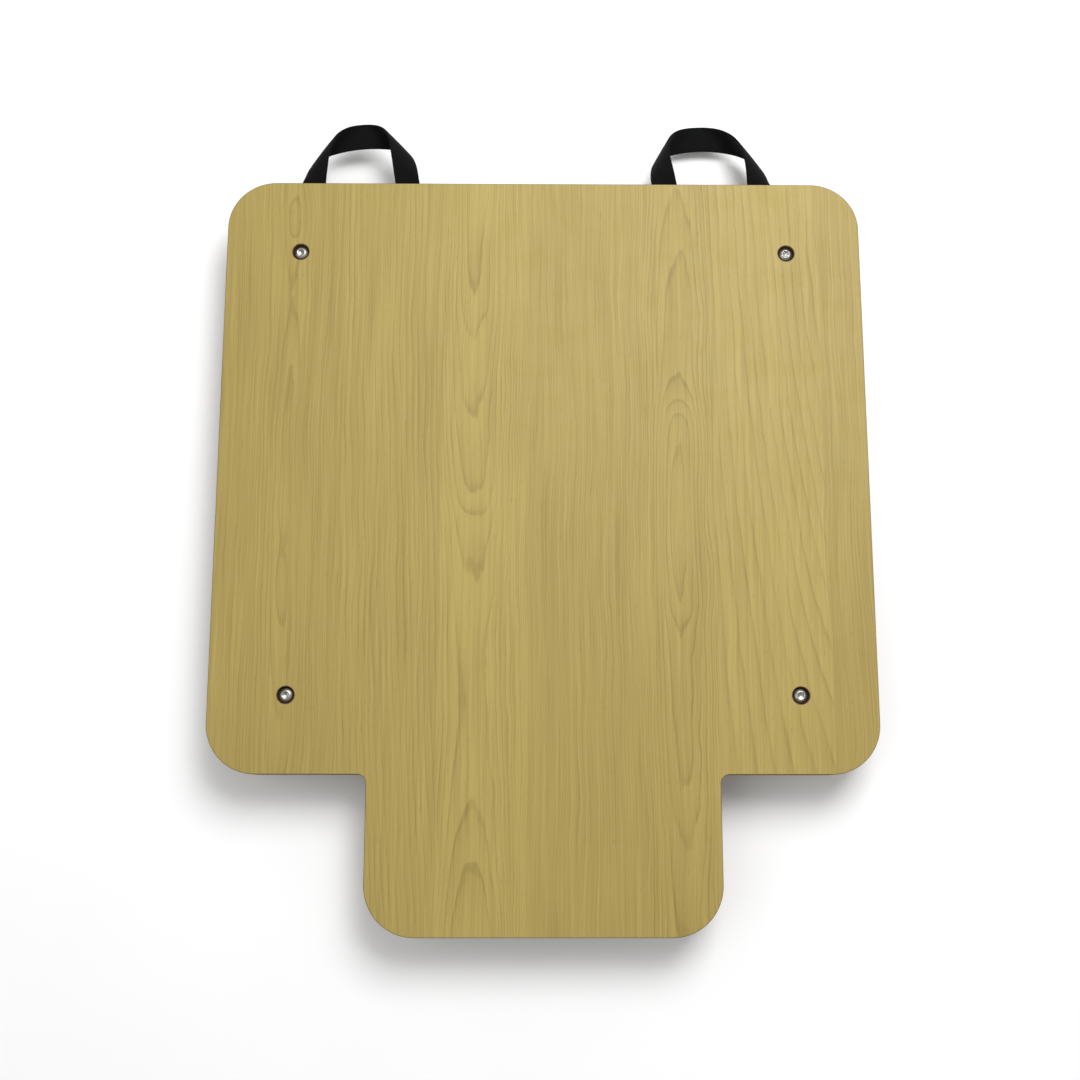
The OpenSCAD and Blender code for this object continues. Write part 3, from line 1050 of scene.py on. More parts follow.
@dataclass
class BoardLayer:
    """One layer of the board: a rim swept round the outline, two faces and the walls of its holes."""

    node: str
    slot: str
    outline: Outline
    rim: Array
    rim_finish: Array
    holes: list[Hole]
    faces_finish: tuple[int, int] = (0, 0)

    def build(self, materials: Sequence[Material]) -> Piece:
        """Builds the layer. A rim point lies inset from the outline along its normal, at its height.

        Args:
            materials: the layer's materials.

        Returns:
            The piece.
        """
        draft = Draft()
        edge, outward = self.outline.trace()
        flat = edge[None] - self.rim[:, 0, None, None] * outward[None]
        level = np.broadcast_to(self.rim[:, 1, None, None], flat.shape[:2] + (1,))
        rim_ids = draft.add_rings(np.concatenate([flat, level], axis=2), Ends.OPEN, self.rim_finish)
        top_ids, bottom_ids = [rim_ids[0]], [rim_ids[-1]]
        for hole in self.holes:
            rings = turned(hole.wall[:, 0], hole.wall[:, 1], hole.columns)
            rings[..., :2] += hole.centre
            ids = draft.add_rings(rings, Ends.OPEN, len(materials) - 1)
            bottom_ids.append(ids[-1])
            if hole.blind:
                draft.add_pole(rings[0], ids[0], len(materials) - 1)
            else:
                top_ids.append(ids[0])
        self.cover(draft, top_ids, self.faces_finish[0])
        self.cover(draft, bottom_ids, self.faces_finish[1])
        piece = draft.to_object(self.node.replace("_", "-"), materials)
        return dress(piece, "board", self.slot, self.node)

    @staticmethod
    def cover(draft: Draft, loops: Sequence[Array], finish: int) -> None:
        """Fills a flat face between its outline and its holes.

        Args:
            draft: the layer's draft.
            loops: point numbers of the outline and of each hole.
            finish: the material's place.
        """
        points = np.concatenate(draft.points)
        ids = np.concatenate(loops)
        corners = tessellate_polygon([[Vector(point) for point in points[loop]] for loop in loops])
        draft.add_faces(ids[np.array(corners)], finish)


def dress(piece: Piece, body: str, slot: str, *nodes: str) -> Piece:
    """Rides a piece on its body, and hides the nodes that it stands for.

    Args:
        piece: the piece.
        body: the body that it moves with.
        slot: not used.
        nodes: the nodes that it replaces.

    Returns:
        The piece.
    """
    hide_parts(*nodes)
    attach(piece, body)
    return piece


@dataclass
class Board:
    """The board: a core between two laminates, drilled for the foot screws and the strap screws."""

    palette: Palette
    ease: float = 0.35
    margin: float = 0.6
    counterbore_radius: float = 5.5
    clearance_radius: float = 3.25
    pilot_radius: float = 1.35
    seat_drop: float = 3.5
    core_back: float = 0.10
    core_chamfer: float = 0.25

    def __post_init__(self) -> None:
        """Reads the layers' boxes and the places of the screws from the frame."""
        self.low, self.high = node_box("top_laminate")
        self.floor = node_box("bottom_laminate")
        self.core = node_box("core_board")
        self.outline = Outline(self.low, self.high)
        self.bolts = [node_centre(name)[:2] for name in CORNER_SCREWS]
        self.pilots = [node_centre(name)[:2] for name in STRAP_SCREWS]
        self.pilot_top = node_box(STRAP_SCREWS[0])[1][2]

    def build(self) -> list[Piece]:
        """Builds the three layers.

        Returns:
            The pieces, from the top down.
        """
        return [self.top_layer(), self.core_layer(), self.bottom_layer()]

    def eased(self, top: float, bottom: float) -> Array:
        """Gives a laminate's rim: a flat margin, a quarter round at the top and a straight edge."""
        turn = np.radians(np.linspace(0, 90, 7))
        inset = self.ease * (1 - np.sin(turn))
        level = top - math.copysign(self.ease, top - bottom) * (1 - np.cos(turn))
        start = [(self.ease + self.margin, top)]
        return np.concatenate([start, np.stack([inset, level], axis=1), [(0.0, bottom)]])

    def top_layer(self) -> Piece:
        """Builds the top laminate, with eased counterbore mouths."""
        top, bottom = self.high[2], self.low[2]
        rim = self.eased(top, bottom)
        radius, soft = self.counterbore_radius, 0.2
        wall = np.array([(radius + soft + 0.3, top), (radius + soft, top), (radius + 0.06, top - 0.06),
                         (radius, top - soft), (radius, bottom)])
        holes = [Hole(spot, wall) for spot in self.bolts]
        finish = np.array([0] + [1] * (len(rim) - 2))
        layer = BoardLayer("top_laminate", "laminate", self.outline, rim, finish, holes)
        return layer.build([self.palette.top, self.palette.laminate_edge])

    def core_layer(self) -> Piece:
        """Builds the core, a touch behind the laminates, with a fine chamfer at each seam."""
        low, high = self.core[0][2], self.core[1][2]
        back, cut = self.core_back, self.core_chamfer
        rim = np.array([(back + cut + self.margin, high), (back + cut, high), (back, high - cut),
                        (back, low + cut), (back + cut, low), (back + cut + self.margin, low)])
        seat = self.high[2] - self.seat_drop
        wide, narrow = self.counterbore_radius, self.clearance_radius
        step = np.array([(wide, high), (wide, seat + 0.15), (wide - 0.15, seat), (narrow + 0.2, seat),
                         (narrow, seat - 0.2), (narrow, low)])
        holes = [Hole(spot, step) for spot in self.bolts]
        holes += [Hole(spot, self.pilot(low), True) for spot in self.pilots]
        layer = BoardLayer("core_board", "core", self.outline, rim, np.zeros(len(rim) - 1, int), holes)
        return layer.build([self.palette.core])

    def bottom_layer(self) -> Piece:
        """Builds the bottom laminate, its eased edge downward."""
        bottom, top = self.floor[0][2], self.floor[1][2]
        rim = self.eased(bottom, top)[::-1]
        narrow = self.clearance_radius
        through = np.array([(narrow, top), (narrow, bottom)])
        drilled = np.array([(self.pilot_radius, top), (self.pilot_radius, bottom)])
        holes = [Hole(spot, through) for spot in self.bolts]
        holes += [Hole(spot, drilled, columns=24) for spot in self.pilots]
        finish = np.array([1] * (len(rim) - 2) + [0])
        layer = BoardLayer("bottom_laminate", "laminate", self.outline, rim, finish, holes)
        return layer.build([self.palette.underside, self.palette.laminate_edge])

    def pilot(self, bottom: float) -> Array:
        """Gives the wall of a blind pilot hole, from its drilled point down."""
        return np.array([(0.3, self.pilot_top + 0.3), (self.pilot_radius, self.pilot_top - 0.6),
                         (self.pilot_radius, bottom)])



# ---- Feet and fasteners ----


@dataclass
class Turned:
    """A piece that is turned about an upright axis and stands for one node.

    A sub-class gives the rings in its own axes, and how they are closed.
    """

    node: str
    slot: str
    material: Material
    twist: float = 0.0
    sharp: float = 38.0

    def rings(self) -> tuple[Array, Ends]:
        """Gives the rings, in the piece's own axes with the floor at height 0."""
        raise NotImplementedError

    def build(self) -> Piece:
        """Builds the piece at its node's place.

        Returns:
            The piece.
        """
        rings, ends = self.rings()
        draft = Draft()
        draft.add_rings(rings, ends)
        own = np.concatenate(draft.points)
        cos, sin = math.cos(self.twist), math.sin(self.twist)
        spot = node_centre(self.node)
        place = np.stack([
            own[:, 0] * cos - own[:, 1] * sin + spot[0],
            own[:, 0] * sin + own[:, 1] * cos + spot[1],
            own[:, 2]], axis=1)
        draft.points = [place]
        name = self.node.replace("_", "-")
        piece = draft.to_object(name, [self.material], own, self.sharp)
        return dress(piece, "board", self.slot, self.node)


@dataclass
class Foot(Turned):
    """A rubber foot: a tapered block with round edges, two grip grooves and a recess for the nut."""

    recess: float = 8.5
    bore: float = 3.25
    groove: float = 0.8
    columns: int = 96

    def rings(self) -> tuple[Array, Ends]:
        """Turns the foot's section, from the bore's top outward, down and back up the recess."""
        low, high = node_box(self.node)
        wide = (high[0] - low[0]) / 2
        top = high[2]
        slim = wide - 2.0
        roof = node_box(self.node.replace("foot", "foot_washer"))[1][2]
        rim = 1.6
        parts = [
            [(self.bore, top), (wide - 0.6, top)],
            quarter((wide - 0.5, top - 0.5), 0.5, 90),
            [(wide - 0.15, top - 2.4), (wide - 0.55, top - 2.9)],
            quarter((slim + 0.12 - rim, rim), rim, 0, 8),
            self.grooves(slim - rim),
            quarter((self.recess + 0.7, 0.7), 0.7, 270, 5),
            [(self.recess, roof - 0.6)],
            [(self.recess - 0.17, roof - 0.17), (self.recess - 0.6, roof), (self.bore + 0.2, roof)],
            [(self.bore, roof + 0.3)],
        ]
        section = np.concatenate([np.array(part, dtype=float) for part in parts])
        return turned(section[:, 0], section[:, 1], self.columns), Ends.JOINED

    def grooves(self, start: float) -> Array:
        """Gives two ring grooves in the sole, from the outside in."""
        lip, deep, half = 0.25, self.groove, 0.7
        cut = np.array([(half + lip, 0), (half, lip * 0.4), (half - 0.2, deep), (-half + 0.2, deep),
                        (-half, lip * 0.4), (-half - lip, 0)])
        centres = (start - 0.8, start - 3.4)
        return np.concatenate([cut + np.array([centre, 0.0]) for centre in centres])


@dataclass
class Washer(Turned):
    """A flat washer, round on the punched side of both edges."""

    bore: float = 3.2
    columns: int = 72

    def rings(self) -> tuple[Array, Ends]:
        """Turns the washer's section."""
        low, high = node_box(self.node)
        wide = (high[0] - low[0]) / 2
        soft = 0.28
        section = np.concatenate([
            [(self.bore + 0.12, high[2]), (wide - 0.08, high[2]), (wide, high[2] - 0.08)],
            quarter((wide - soft, low[2] + soft), soft, 0),
            quarter((self.bore + soft, low[2] + soft), soft, 270),
            [(self.bore, high[2] - 0.12)],
        ])
        return turned(section[:, 0], section[:, 1], self.columns), Ends.JOINED


@dataclass
class LockNut(Turned):
    """A self-locking nut: a chamfered hexagon above a round collar that is rolled over the ring."""

    flats: float = 10.0
    bore: float = 3.03
    ring_bore: float = 4.2
    collar: float = 4.8
    hexagon_height: float = 4.4
    columns: int = 144

    def rings(self) -> tuple[Array, Ends]:
        """Turns the section, each ring no wider than the hexagon there."""
        low, high = node_box(self.node)
        bottom, top = low[2], high[2]
        waist = top - self.hexagon_height
        corner = self.flats / 2 / math.cos(math.pi / 6)
        face = 0.475 * self.flats
        chamfer = (corner - face) * math.tan(math.pi / 6)
        rise = np.linspace(0, 1, 7)
        crown = np.stack([face + (corner - face) * rise, top - chamfer * rise], axis=1)
        skirt = np.stack([face + (corner - face) * rise[::-1], waist + chamfer * rise[::-1]], axis=1)
        collar = np.concatenate([
            [(self.collar + 0.25, waist), (self.collar, waist - 0.25)],
            quarter((self.collar - 0.5, bottom + 0.5), 0.5, 0),
            [(self.ring_bore + 0.02, bottom + 0.02), (self.ring_bore, bottom + 0.2), (self.ring_bore, waist)],
        ])
        section = np.concatenate([
            [(self.bore, top - 0.5), (self.bore + 0.5, top)], crown, skirt, collar,
            [(self.bore + 0.4, waist), (self.bore, waist + 0.4)]])
        radius = np.minimum(section[:, 0, None], hexagon(self.flats, self.columns)[None])
        return turned(radius, section[:, 1], self.columns), Ends.JOINED


@dataclass
class LockRing(Turned):
    """The nut's nylon ring, pushed out of shape a little by the thread."""

    bore: float = 3.02
    columns: int = 96

    def rings(self) -> tuple[Array, Ends]:
        """Turns the ring's section, with a faint print of the thread in its bore."""
        low, high = node_box(self.node)
        wide = (high[0] - low[0]) / 2
        inner = np.linspace(low[2] + 0.2, high[2] - 0.1, 9)
        section = np.concatenate([
            [(self.bore + 0.2, high[2]), (wide - 0.1, high[2]), (wide, high[2] - 0.1), (wide, low[2] + 0.15)],
            quarter((wide - 0.3, low[2] + 0.3), 0.3, 0, 4),
            [(self.bore + 0.55, low[2] + 0.02), (self.bore + 0.25, low[2] + 0.08)],
            np.stack([np.full(len(inner), self.bore), inner], axis=1),
        ])
        radius = np.repeat(section[:, 0, None], self.columns, axis=1)
        print_rows = slice(len(section) - len(inner), len(section))
        radius[print_rows] = helix(inner, self.columns, 1.0, self.bore + 0.16, self.bore)
        return turned(radius, section[:, 1], self.columns), Ends.JOINED


@dataclass
class BoardScrew(Turned):
    """A domed socket screw with a metric thread."""

    flats: float = 4.0
    socket_depth: float = 2.1
    head_height: float = 3.3
    rim_height: float = 0.55
    length: float = 30.0
    shank: float = 3.0
    thread_pitch: float = 1.0
    columns: int = 72

    def rings(self) -> tuple[Array, Ends]:
        """Turns the screw: up from the socket's floor, over the dome, under the head and down the thread."""
        low, high = node_box(self.node)
        tip = low[2]
        seat = tip + self.length
        crown = seat + self.head_height
        wide = (high[0] - low[0]) / 2
        six = hexagon(self.flats, self.columns)
        mouth = self.flats / 2 / math.cos(math.pi / 6) + 0.12
        swell = self.head_height - self.rim_height
        ball = (wide ** 2 + swell ** 2) / (2 * swell)
        spread = np.concatenate([[mouth, mouth + 0.08], np.linspace(mouth + 0.25, wide, 16)])
        dome = np.stack([spread, crown - ball + np.sqrt(ball ** 2 - spread ** 2)], axis=1)
        dome[0, 1] -= 0.05
        floor = crown - self.socket_depth
        drilled = np.array([(0.12, floor - 0.55), (1.0, floor - 0.3), (self.flats / 2 - 0.04, floor)])
        walls = np.array([floor + 0.02, dome[0, 1] - 0.12])
        under = np.array([(wide, seat + 0.12), (wide - 0.12, seat), (self.shank + 0.3, seat),
                          (self.shank, seat - 0.3)])
        turns = np.arange(seat - 0.6, tip + 0.5, -self.thread_pitch / 7)
        end = np.array([(self.shank - 0.45, tip + 0.25), (self.shank - 0.8, tip)])
        round_parts = (drilled, dome, under, end)
        round_rows = [np.repeat(part[:, 0, None], self.columns, axis=1) for part in round_parts]
        thread = helix(turns, self.columns, self.thread_pitch, self.shank - 0.55, self.shank)
        rows = [round_rows[0], np.repeat(six[None], 2, axis=0), *round_rows[1:3], thread, round_rows[3]]
        level = np.concatenate([drilled[:, 1], walls, dome[:, 1], under[:, 1], turns, end[:, 1]])
        return turned(np.concatenate(rows), level, self.columns), Ends.POLES


@dataclass
class StrapScrew(Turned):
    """A pan-head wood screw, head down, with a cross recess and a pointed coarse thread."""

    head_height: float = 2.6
    length: float = 16.0
    shank: float = 1.8
    arm: float = 2.0
    slot_width: float = 1.0
    slot_depth: float = 1.45
    thread_pitch: float = 1.6
    columns: int = 96

    def rings(self) -> tuple[Array, Ends]:
        """Turns the screw: out over the head, under it and up the thread to its point.

        The recess sinks the head where either arm of a cross lies, with sloped walls.
        """
        low, high = node_box(self.node)
        tip = high[2]
        wide = (high[0] - low[0]) / 2
        seat = tip - self.length
        face = seat - self.head_height
        spread = np.concatenate([np.linspace(0.06, 2.4, 22), np.linspace(2.6, wide - 0.05, 8)])
        crown = face + self.head_height * 0.62 * (spread / wide) ** 3.2
        angle = np.arange(self.columns) / self.columns * FULL_TURN
        x = np.abs(spread[:, None] * np.cos(angle))
        y = np.abs(spread[:, None] * np.sin(angle))
        cross = np.maximum(self.wall(x, y), self.wall(y, x))
        head = turned(spread, crown, self.columns)
        head[..., 2] += self.slot_depth * cross
        side = turned(np.array([wide, wide, wide - 0.15, self.shank + 0.3]),
                      np.array([face + self.head_height * 0.66, seat - 0.15, seat, seat]), self.columns)
        rise = np.arange(seat + 0.3, tip - 0.4, self.thread_pitch / 9)
        taper = np.clip((tip - rise) / 3.4, 0.12, 1)
        core = np.where(rise < seat + 1.6, self.shank, self.shank * 0.68) * taper
        crest = self.shank * np.clip(taper * 1.05, 0, 1)
        wave = helix(rise, self.columns, self.thread_pitch, 0.0, 1.0) ** 3
        radius = core[:, None] + np.maximum(crest - core, 0)[:, None] * wave
        thread = turned(radius, rise, self.columns)
        point = turned(np.array([0.06]), np.array([tip]), self.columns)
        return np.concatenate([head, side, thread, point]), Ends.POLES

    def wall(self, across: Array, along: Array) -> Array:
        """Gives the depth of one arm of the recess, from 0 to 1."""
        side = np.clip((self.slot_width / 2 + 0.16 - across) / 0.3, 0, 1)
        end = np.clip((self.arm + 0.1 - along) / 1.1, 0, 1)
        return side * np.sqrt(end)


@dataclass
class Hardware:
    """Everything that is turned: feet, board screws, nuts, rings, washers and strap screws."""

    palette: Palette
    twists: tuple[float, ...] = (0.35, 1.9, 0.9, 2.6)

    def build(self) -> list[Piece]:
        """Builds every turned piece.

        Returns:
            The pieces.
        """
        steel, zinc = self.palette.bright_steel, self.palette.zinc
        pieces = []
        for corner, twist in zip(CORNERS, self.twists):
            pieces.append(Foot(f"foot_{corner}", "foot", self.palette.rubber, twist).build())
            pieces.append(BoardScrew(f"screw_{corner}", "board_screw", steel, twist).build())
            pieces.append(Washer(f"foot_washer_{corner}", "washer", zinc, twist).build())
            pieces.append(LockNut(f"lock_nut_{corner}", "lock_nut", zinc, twist, 25.0).build())
            pieces.append(LockRing(f"lock_ring_{corner}", "lock_ring", self.palette.nylon, twist).build())
        for place, twist in zip(STRAP_PLACES, self.twists):
            pieces.append(Washer(f"strap_washer_{place}", "washer", zinc, twist, bore=2.0).build())
            pieces.append(StrapScrew(f"strap_screw_{place}", "strap_screw", zinc, twist).build())
        return pieces


# ---- Straps ----


@dataclass(frozen=True)
class Bend:
    """Where every strap bends round the back edge of the board.

    The webbing bends over a short reach on both sides of the hinge, which is just past the edge, and lies
    flat under the board before that reach.
    """

    y: float
    z: float
    pitch: float = math.radians(22.0)
    reach: float = 1.9
    ease: float = 3.0
    gap: float = 1.6
    tail: float = 28.5

    def lay(self, x: Array, out: Array, rise: Array) -> Array:
        """Bends a flat layout about the hinge.

        The slope grows from 0 to the pitch over a short reach on both sides of the hinge. A point
        goes along the curve by its distance out, and off the curve by its rise.

        Args:
            x: place across the board.
            out: distance out from the hinge, negative under the board.
            rise: height above the flat layout.

        Returns:
            The points in the frame.
        """
        run = np.linspace(-self.reach, self.reach, 129)
        share = (run / self.reach + 1) / 2
        slope = self.pitch * share * share * (3 - 2 * share)
        step = run[1] - run[0]
        forward = np.concatenate([[0], np.cumsum((np.cos(slope[1:]) + np.cos(slope[:-1])) / 2 * step)])
        upward = np.concatenate([[0], np.cumsum((np.sin(slope[1:]) + np.sin(slope[:-1])) / 2 * step)])
        tilt = np.interp(out, run, slope)
        beyond = np.maximum(out - self.reach, 0)
        before = np.minimum(out + self.reach, 0)
        y = -self.reach + np.interp(out, run, forward) + before + beyond * math.cos(self.pitch)
        z = np.interp(out, run, upward) + beyond * math.sin(self.pitch)
        return np.stack([x, self.y + y - rise * np.sin(tilt), self.z + z + rise * np.cos(tilt)], axis=-1)


@dataclass(frozen=True)
class Weave:
    """The webbing's weave: ribs of warp along it, crossed by picks."""

    width: float = 17.0
    thickness: float = 1.6
    bundles: int = 14
    pick: float = 1.5
    per_bundle: int = 4
    per_pick: int = 4
    relief: float = 0.13
    edge_steps: int = 5

    def face(self, across: Array, along: Array, flip: float) -> Array:
        """Gives how far a face stands out, less than half the thickness by the weave's relief.

        A bundle is round across, and dips where a pick goes over it. Neighbouring bundles dip half
        a pick out of step.

        Args:
            across: place across the webbing, from minus to plus half its width.
            along: place along it.
            flip: 0 on one face and 0.5 on the other.

        Returns:
            The height over the middle surface.
        """
        lane = np.clip((across / self.width + 0.5) * self.bundles, 0, self.bundles - 1e-6)
        rib = np.sqrt(np.sin(math.pi * np.mod(lane, 1)))
        phase = along / self.pick + flip + 0.5 * np.mod(np.floor(lane), 2)
        dip = 0.5 - 0.5 * np.cos(FULL_TURN * phase)
        return self.thickness / 2 - self.relief * (1 - rib * (0.45 + 0.55 * dip))


@dataclass
class Strap:
    """One pull strap: a band of webbing, screwed under the board at both ends and folded into a loop.

    The band is rolled half way round two slanting rods, so that it comes back over itself in two
    legs. The legs stand up from the hinge, bend flat round the board's edge and end under it.
    """

    side: str
    x: float
    turn: float
    fold_at: tuple[float, float]
    fold_slope: tuple[float, float]
    fold_radius: float
    bow: float
    reach: float
    bend: Bend
    weave: Weave = Weave()
    longest: float = 130.0
    settle: float = 12.0
    melt: float = 0.9

    def rolled(self, past: Array) -> tuple[Array, Array]:
        """Rolls a stretch past a fold line half way round a rod, and then straight back."""
        r = self.fold_radius
        angle = np.clip(past / r, 0, math.pi)
        flat = np.minimum(past, 0) + r * np.sin(angle) - np.maximum(past - math.pi * r, 0)
        return flat, r * (1 - np.cos(angle))

    def layout(self, s: Array, t: Array) -> tuple[Array, Array, Array]:
        """Lays the loop out before it is bent.

        Args:
            s: place along the band, from the middle of the cross band.
            t: place across it.

        Returns:
            Place across the board, distance out from the hinge and rise.
        """
        x, y = s.copy(), t.copy()
        rise = np.full(s.shape, -2 * self.fold_radius)
        for hand, at, slope in zip((-1, 1), self.fold_at, np.radians(self.fold_slope)):
            normal = (hand * math.sin(slope), math.cos(slope))
            past = (s - hand * at) * normal[0] + t * normal[1]
            flat, up = self.rolled(past)
            x += (flat - past) * normal[0]
            y += (flat - past) * normal[1]
            rise += up
        y -= self.bow * x * x
        turn = math.radians(self.turn)
        across = self.x + x * math.cos(turn) - y * math.sin(turn)
        return across, self.reach + x * math.sin(turn) + y * math.cos(turn), rise

    def leg(self, hand: int) -> tuple[float, float, float]:
        """Finds where a leg's middle line meets the hinge, by halving.

        Args:
            hand: -1 for the leg on the left, +1 for the one on the right.

        Returns:
            The length along the band there, the place across the board, and the slope across over out.
        """
        near, far = self.longest / 4, self.longest
        for _ in range(40):
            middle = (near + far) / 2
            out = self.layout(np.array([hand * middle]), np.zeros(1))[1][0]
            near, far = (middle, far) if out > 0 else (near, middle)
        ends = self.layout(hand * np.array([near, near - 2.0]), np.zeros(2))
        return near, float(ends[0][0]), float((ends[0][1] - ends[0][0]) / (ends[1][1] - ends[1][0]))

    def middle(self, s: Array, t: Array) -> tuple[Array, Array, Array]:
        """Lays out the whole strap: the loop, easing into straight tails near the hinge.

        Args:
            s: place along the band.
            t: place across it.

        Returns:
            Place across the board, distance out from the hinge and rise.
        """
        across, out, rise = self.layout(s, t)
        for hand in (-1, 1):
            end, x, lean = self.leg(hand)
            scale = math.hypot(1, lean)
            beyond = np.abs(s) - end
            tail_x = x - beyond * lean / scale - hand * t / scale * self.mirror(hand)
            tail_out = -beyond / scale + hand * t * lean / scale * self.mirror(hand)
            share = np.clip(1 + beyond / self.settle, 0, 1) * (hand * s > 0)
            share = share * share * (3 - 2 * share)
            across = across + share * (tail_x - across)
            out = out + share * (tail_out - out)
            rise = rise * (1 - share)
        return across, out, rise

    def mirror(self, hand: int) -> float:
        """Tells which way the webbing's width runs in a leg: +1 when a step across goes outward."""
        end = self.leg(hand)[0]
        places = self.layout(np.full(2, hand * end), np.array([-1.0, 1.0]))[0]
        return -float(np.sign(places[1] - places[0]) * hand)

    def build(self, material: Material) -> Piece:
        """Builds the strap: both faces, round selvedges and sealed ends, as rings round the band.

        Args:
            material: the webbing's material.

        Returns:
            The piece.
        """
        weave = self.weave
        first, last = (self.leg(hand)[0] + self.bend.gap + self.bend.tail for hand in (-1, 1))
        rows = int(round((first + last) / weave.pick * weave.per_pick)) + 1
        s = np.linspace(-first, last, rows)
        t = np.linspace(-0.5, 0.5, weave.bundles * weave.per_bundle + 1) * (weave.width - weave.thickness)
        grid_s, grid_t = np.meshgrid(s, t, indexing="ij")
        middle = self.bend.lay(*self.middle(grid_s, grid_t))
        along = np.gradient(middle, axis=0)
        over = np.gradient(middle, axis=1)
        over /= np.linalg.norm(over, axis=2, keepdims=True)
        normal = np.cross(along, over)
        normal /= np.linalg.norm(normal, axis=2, keepdims=True)
        ends = np.minimum(grid_s - s[0], s[-1] - grid_s)
        sealed = 1 - 0.45 * (1 - np.clip(ends / self.melt, 0, 1)) ** 2
        front = middle + normal * (weave.face(grid_t, grid_s, 0.0) * sealed)[..., None]
        back = middle - normal * (weave.face(grid_t, grid_s, 0.5) * sealed)[..., None]
        right = self.selvedge(middle[:, -1], over[:, -1], normal[:, -1], s, sealed[:, -1], 1)
        left = self.selvedge(middle[:, 0], over[:, 0], normal[:, 0], s, sealed[:, 0], -1)
        half = weave.edge_steps // 2 + 1
        rings = np.concatenate([left[:, half:], front, right, back[:, ::-1], left[:, :half]], axis=1)
        place_t = np.concatenate([np.full(weave.edge_steps - half, t[0] - 0.6), t,
                                  np.full(weave.edge_steps, t[-1] + 0.6), t[::-1], np.full(half, t[0] - 0.6)])
        place = np.stack(np.broadcast_arrays(place_t[None], s[:, None], 0.0), axis=2)
        draft = Draft()
        draft.add_rings(rings, Ends.LADDER)
        piece = draft.to_object(f"{self.side}-strap", [material], place, 70.0)
        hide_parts(*(f"strap_{self.side}_{part}" for part in ("loop", "tail_outer", "tail_inner")))
        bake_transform(piece)
        return piece

    def selvedge(self, edge: Array, over: Array, normal: Array, s: Array, sealed: Array, hand: int) -> Array:
        """Rounds one long edge: a half circle with a small knuckle at every pick.

        Args:
            edge: the middle surface's outermost line.
            over: the direction across the webbing there.
            normal: the normal there.
            s: place along the band.
            sealed: share of the thickness left by the sealed ends.
            hand: +1 for the edge at the far side of the width, -1 for the near one.

        Returns:
            The edge's points, from the front face round to the back on the far side, and from the
            back to the front on the near one.
        """
        weave = self.weave
        angle = np.linspace(math.pi / 2, -math.pi / 2, weave.edge_steps + 2)[1:-1]
        angle = angle if hand > 0 else angle[::-1]
        knuckle = 1 - 0.12 * (0.5 - 0.5 * np.cos(FULL_TURN * s / weave.pick))
        size = (weave.thickness / 2 * knuckle * sealed)[:, None, None]
        flare = hand * np.cos(angle)[None, :, None] * over[:, None]
        lift = np.sin(angle)[None, :, None] * normal[:, None] * 0.86
        return edge[:, None] + size * (flare + lift)


@dataclass
class Straps:
    """Both pull straps."""

    palette: Palette

    def build(self) -> list[Piece]:
        """Builds the straps, the left one first.

        Returns:
            The pieces.
        """
        back = node_box("top_laminate")[1][1]
        bend = Bend(back + 2.0, node_centre("strap_left_tail_outer")[2])
        left = Strap("left", -131.6, 6.5, (2.5, 12.6), (36.8, 44.3), 8.6, 0.0047, 38.2, bend)
        right = Strap("right", 105.2, 5.0, (2.3, 13.2), (50.0, 43.8), 12.6, 0.0053, 38.2, bend)
        return [strap.build(self.palette.webbing) for strap in (left, right)]


# ---- Studio ----


@dataclass(frozen=True)
class Softbox:
    """A square area light that points at a place on the board."""

    name: str
    place: tuple[float, float, float]
    aim: tuple[float, float, float]
    size: float
    watts: float


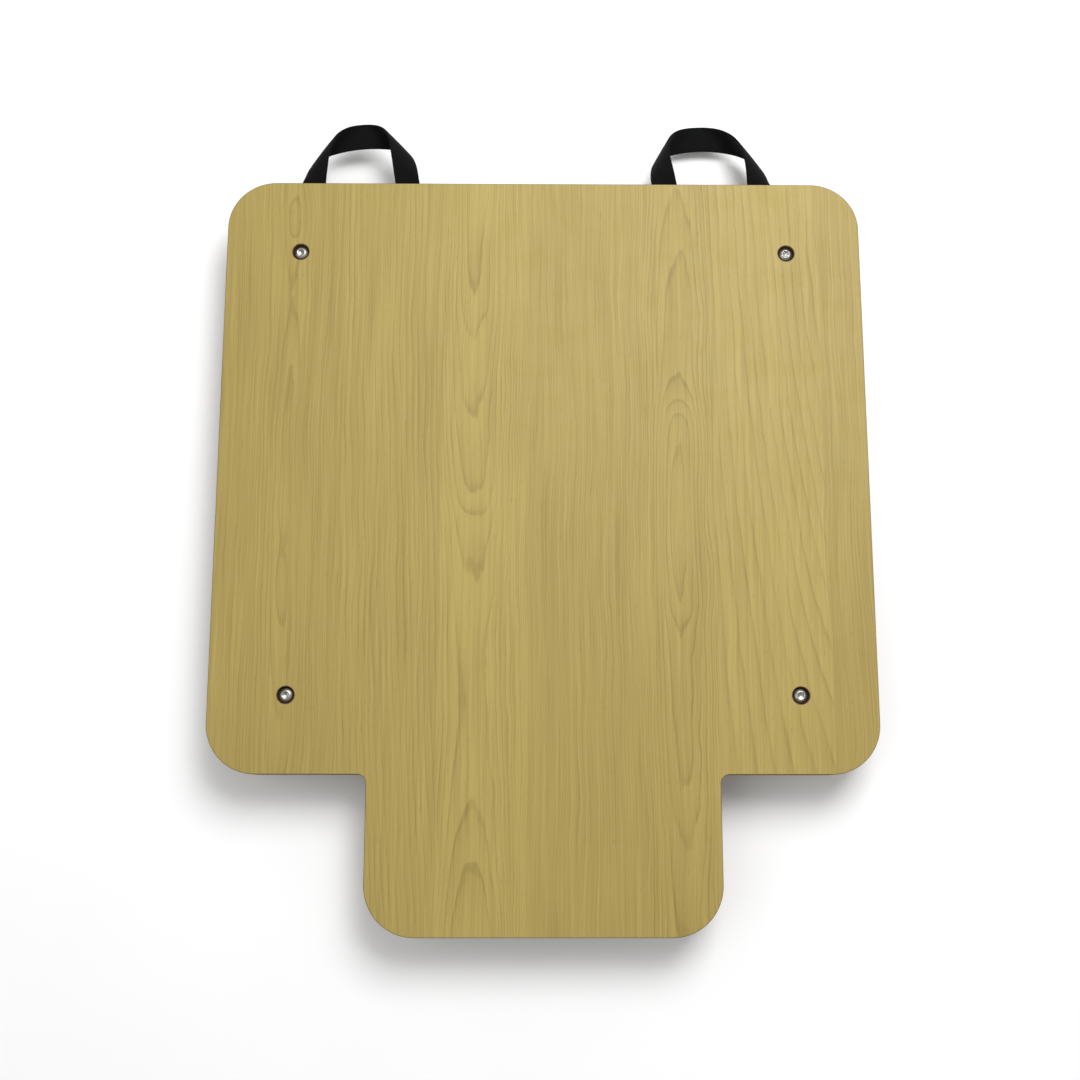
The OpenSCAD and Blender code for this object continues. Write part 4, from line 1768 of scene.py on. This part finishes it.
@dataclass
class Studio:
    """The camera, a pale floor and soft lights."""

    lens: float = 46.0
    eye: tuple[float, float, float] = (-0.0092, -0.194, 0.924)
    look: tuple[float, float, float] = (10.7, -0.447, 0.04)
    lights: tuple[Softbox, ...] = (
        Softbox("key", (0.4, 0.7, 1.3), (0.05, 0.05, 0.0), 0.8, 16.0),
        Softbox("fill", (-1.3, -0.3, 1.7), (0.0, 0.0, 0.0), 1.4, 6.0),
        Softbox("overhead", (0.3, 1.0, 1.9), (0.0, 0.0, 0.0), 1.4, 9.0),
    )
    floor_half: float = 4.0
    floor_light: tuple[float, ...] = (0.93, 0.93, 0.93, 1.0)
    floor_dark: tuple[float, ...] = (0.9, 0.9, 0.9, 1.0)
    world_strength: float = 0.5

    def build(self) -> None:
        """Sets up the camera, the floor, the lights and the world."""
        self.add_camera()
        self.add_floor()
        for light in self.lights:
            self.add_light(light)
        world = bpy.data.worlds.new("studio")
        world.use_nodes = True
        background = world.node_tree.nodes["Background"]
        background.inputs["Color"].default_value = (1.0, 1.0, 1.0, 1.0)
        background.inputs["Strength"].default_value = self.world_strength
        scene = bpy.context.scene
        scene.world = world
        scene.view_settings.view_transform = "Standard"

    def add_camera(self) -> None:
        """Adds the camera above the board, tipped a little toward its back edge."""
        data = bpy.data.cameras.new("camera")
        data.lens = self.lens
        camera = bpy.data.objects.new("camera", data)
        camera.location = self.eye
        camera.rotation_euler = [math.radians(angle) for angle in self.look]
        bpy.context.scene.collection.objects.link(camera)
        bpy.context.scene.camera = camera

    def add_floor(self) -> None:
        """Adds the pale floor, with a faint mottle."""
        half = self.floor_half
        mesh = bpy.data.meshes.new("floor")
        corners = [(-half, -half, 0), (half, -half, 0), (half, half, 0), (-half, half, 0)]
        mesh.from_pydata(corners, [], [(0, 1, 2, 3)])
        floor = bpy.data.objects.new("floor", mesh)
        bpy.context.scene.collection.objects.link(floor)
        material, sheet, shader = Finish("floor", 0.85, specular=0.2).start()
        mottle = sheet.noise(sheet.put("TexCoord").outputs["Object"], 9.0, 2.0)
        colour = sheet.blend(mottle, self.floor_light, self.floor_dark)
        sheet.feed(shader.inputs["Base Color"], colour)
        mesh.materials.append(material)

    def add_light(self, light: Softbox) -> None:
        """Adds one soft light.

        Args:
            light: its place, aim, size and power.
        """
        data = bpy.data.lights.new(light.name, "AREA")
        data.size = light.size
        data.energy = light.watts
        lamp = bpy.data.objects.new(light.name, data)
        lamp.location = light.place
        aim = Vector(light.aim) - Vector(light.place)
        lamp.rotation_euler = aim.to_track_quat("-Z", "Y").to_euler()
        bpy.context.scene.collection.objects.link(lamp)


def main() -> None:
    """Builds the studio and every piece, and reports each piece."""
    logging.basicConfig(level=logging.INFO, format="%(name)s: %(message)s")
    Studio().build()
    shoulder = node_box("top_laminate")
    panel_y = (shoulder[0][1] + Outline.tongue_length + shoulder[1][1]) / 2
    palette = build_palette(panel_y)
    pieces = Board(palette).build() + Hardware(palette).build() + Straps(palette).build()
    for piece in pieces:
        log.info("%s: %d points, %d faces", piece.name, len(piece.data.vertices), len(piece.data.polygons))


if __name__ == "__main__":
    main()
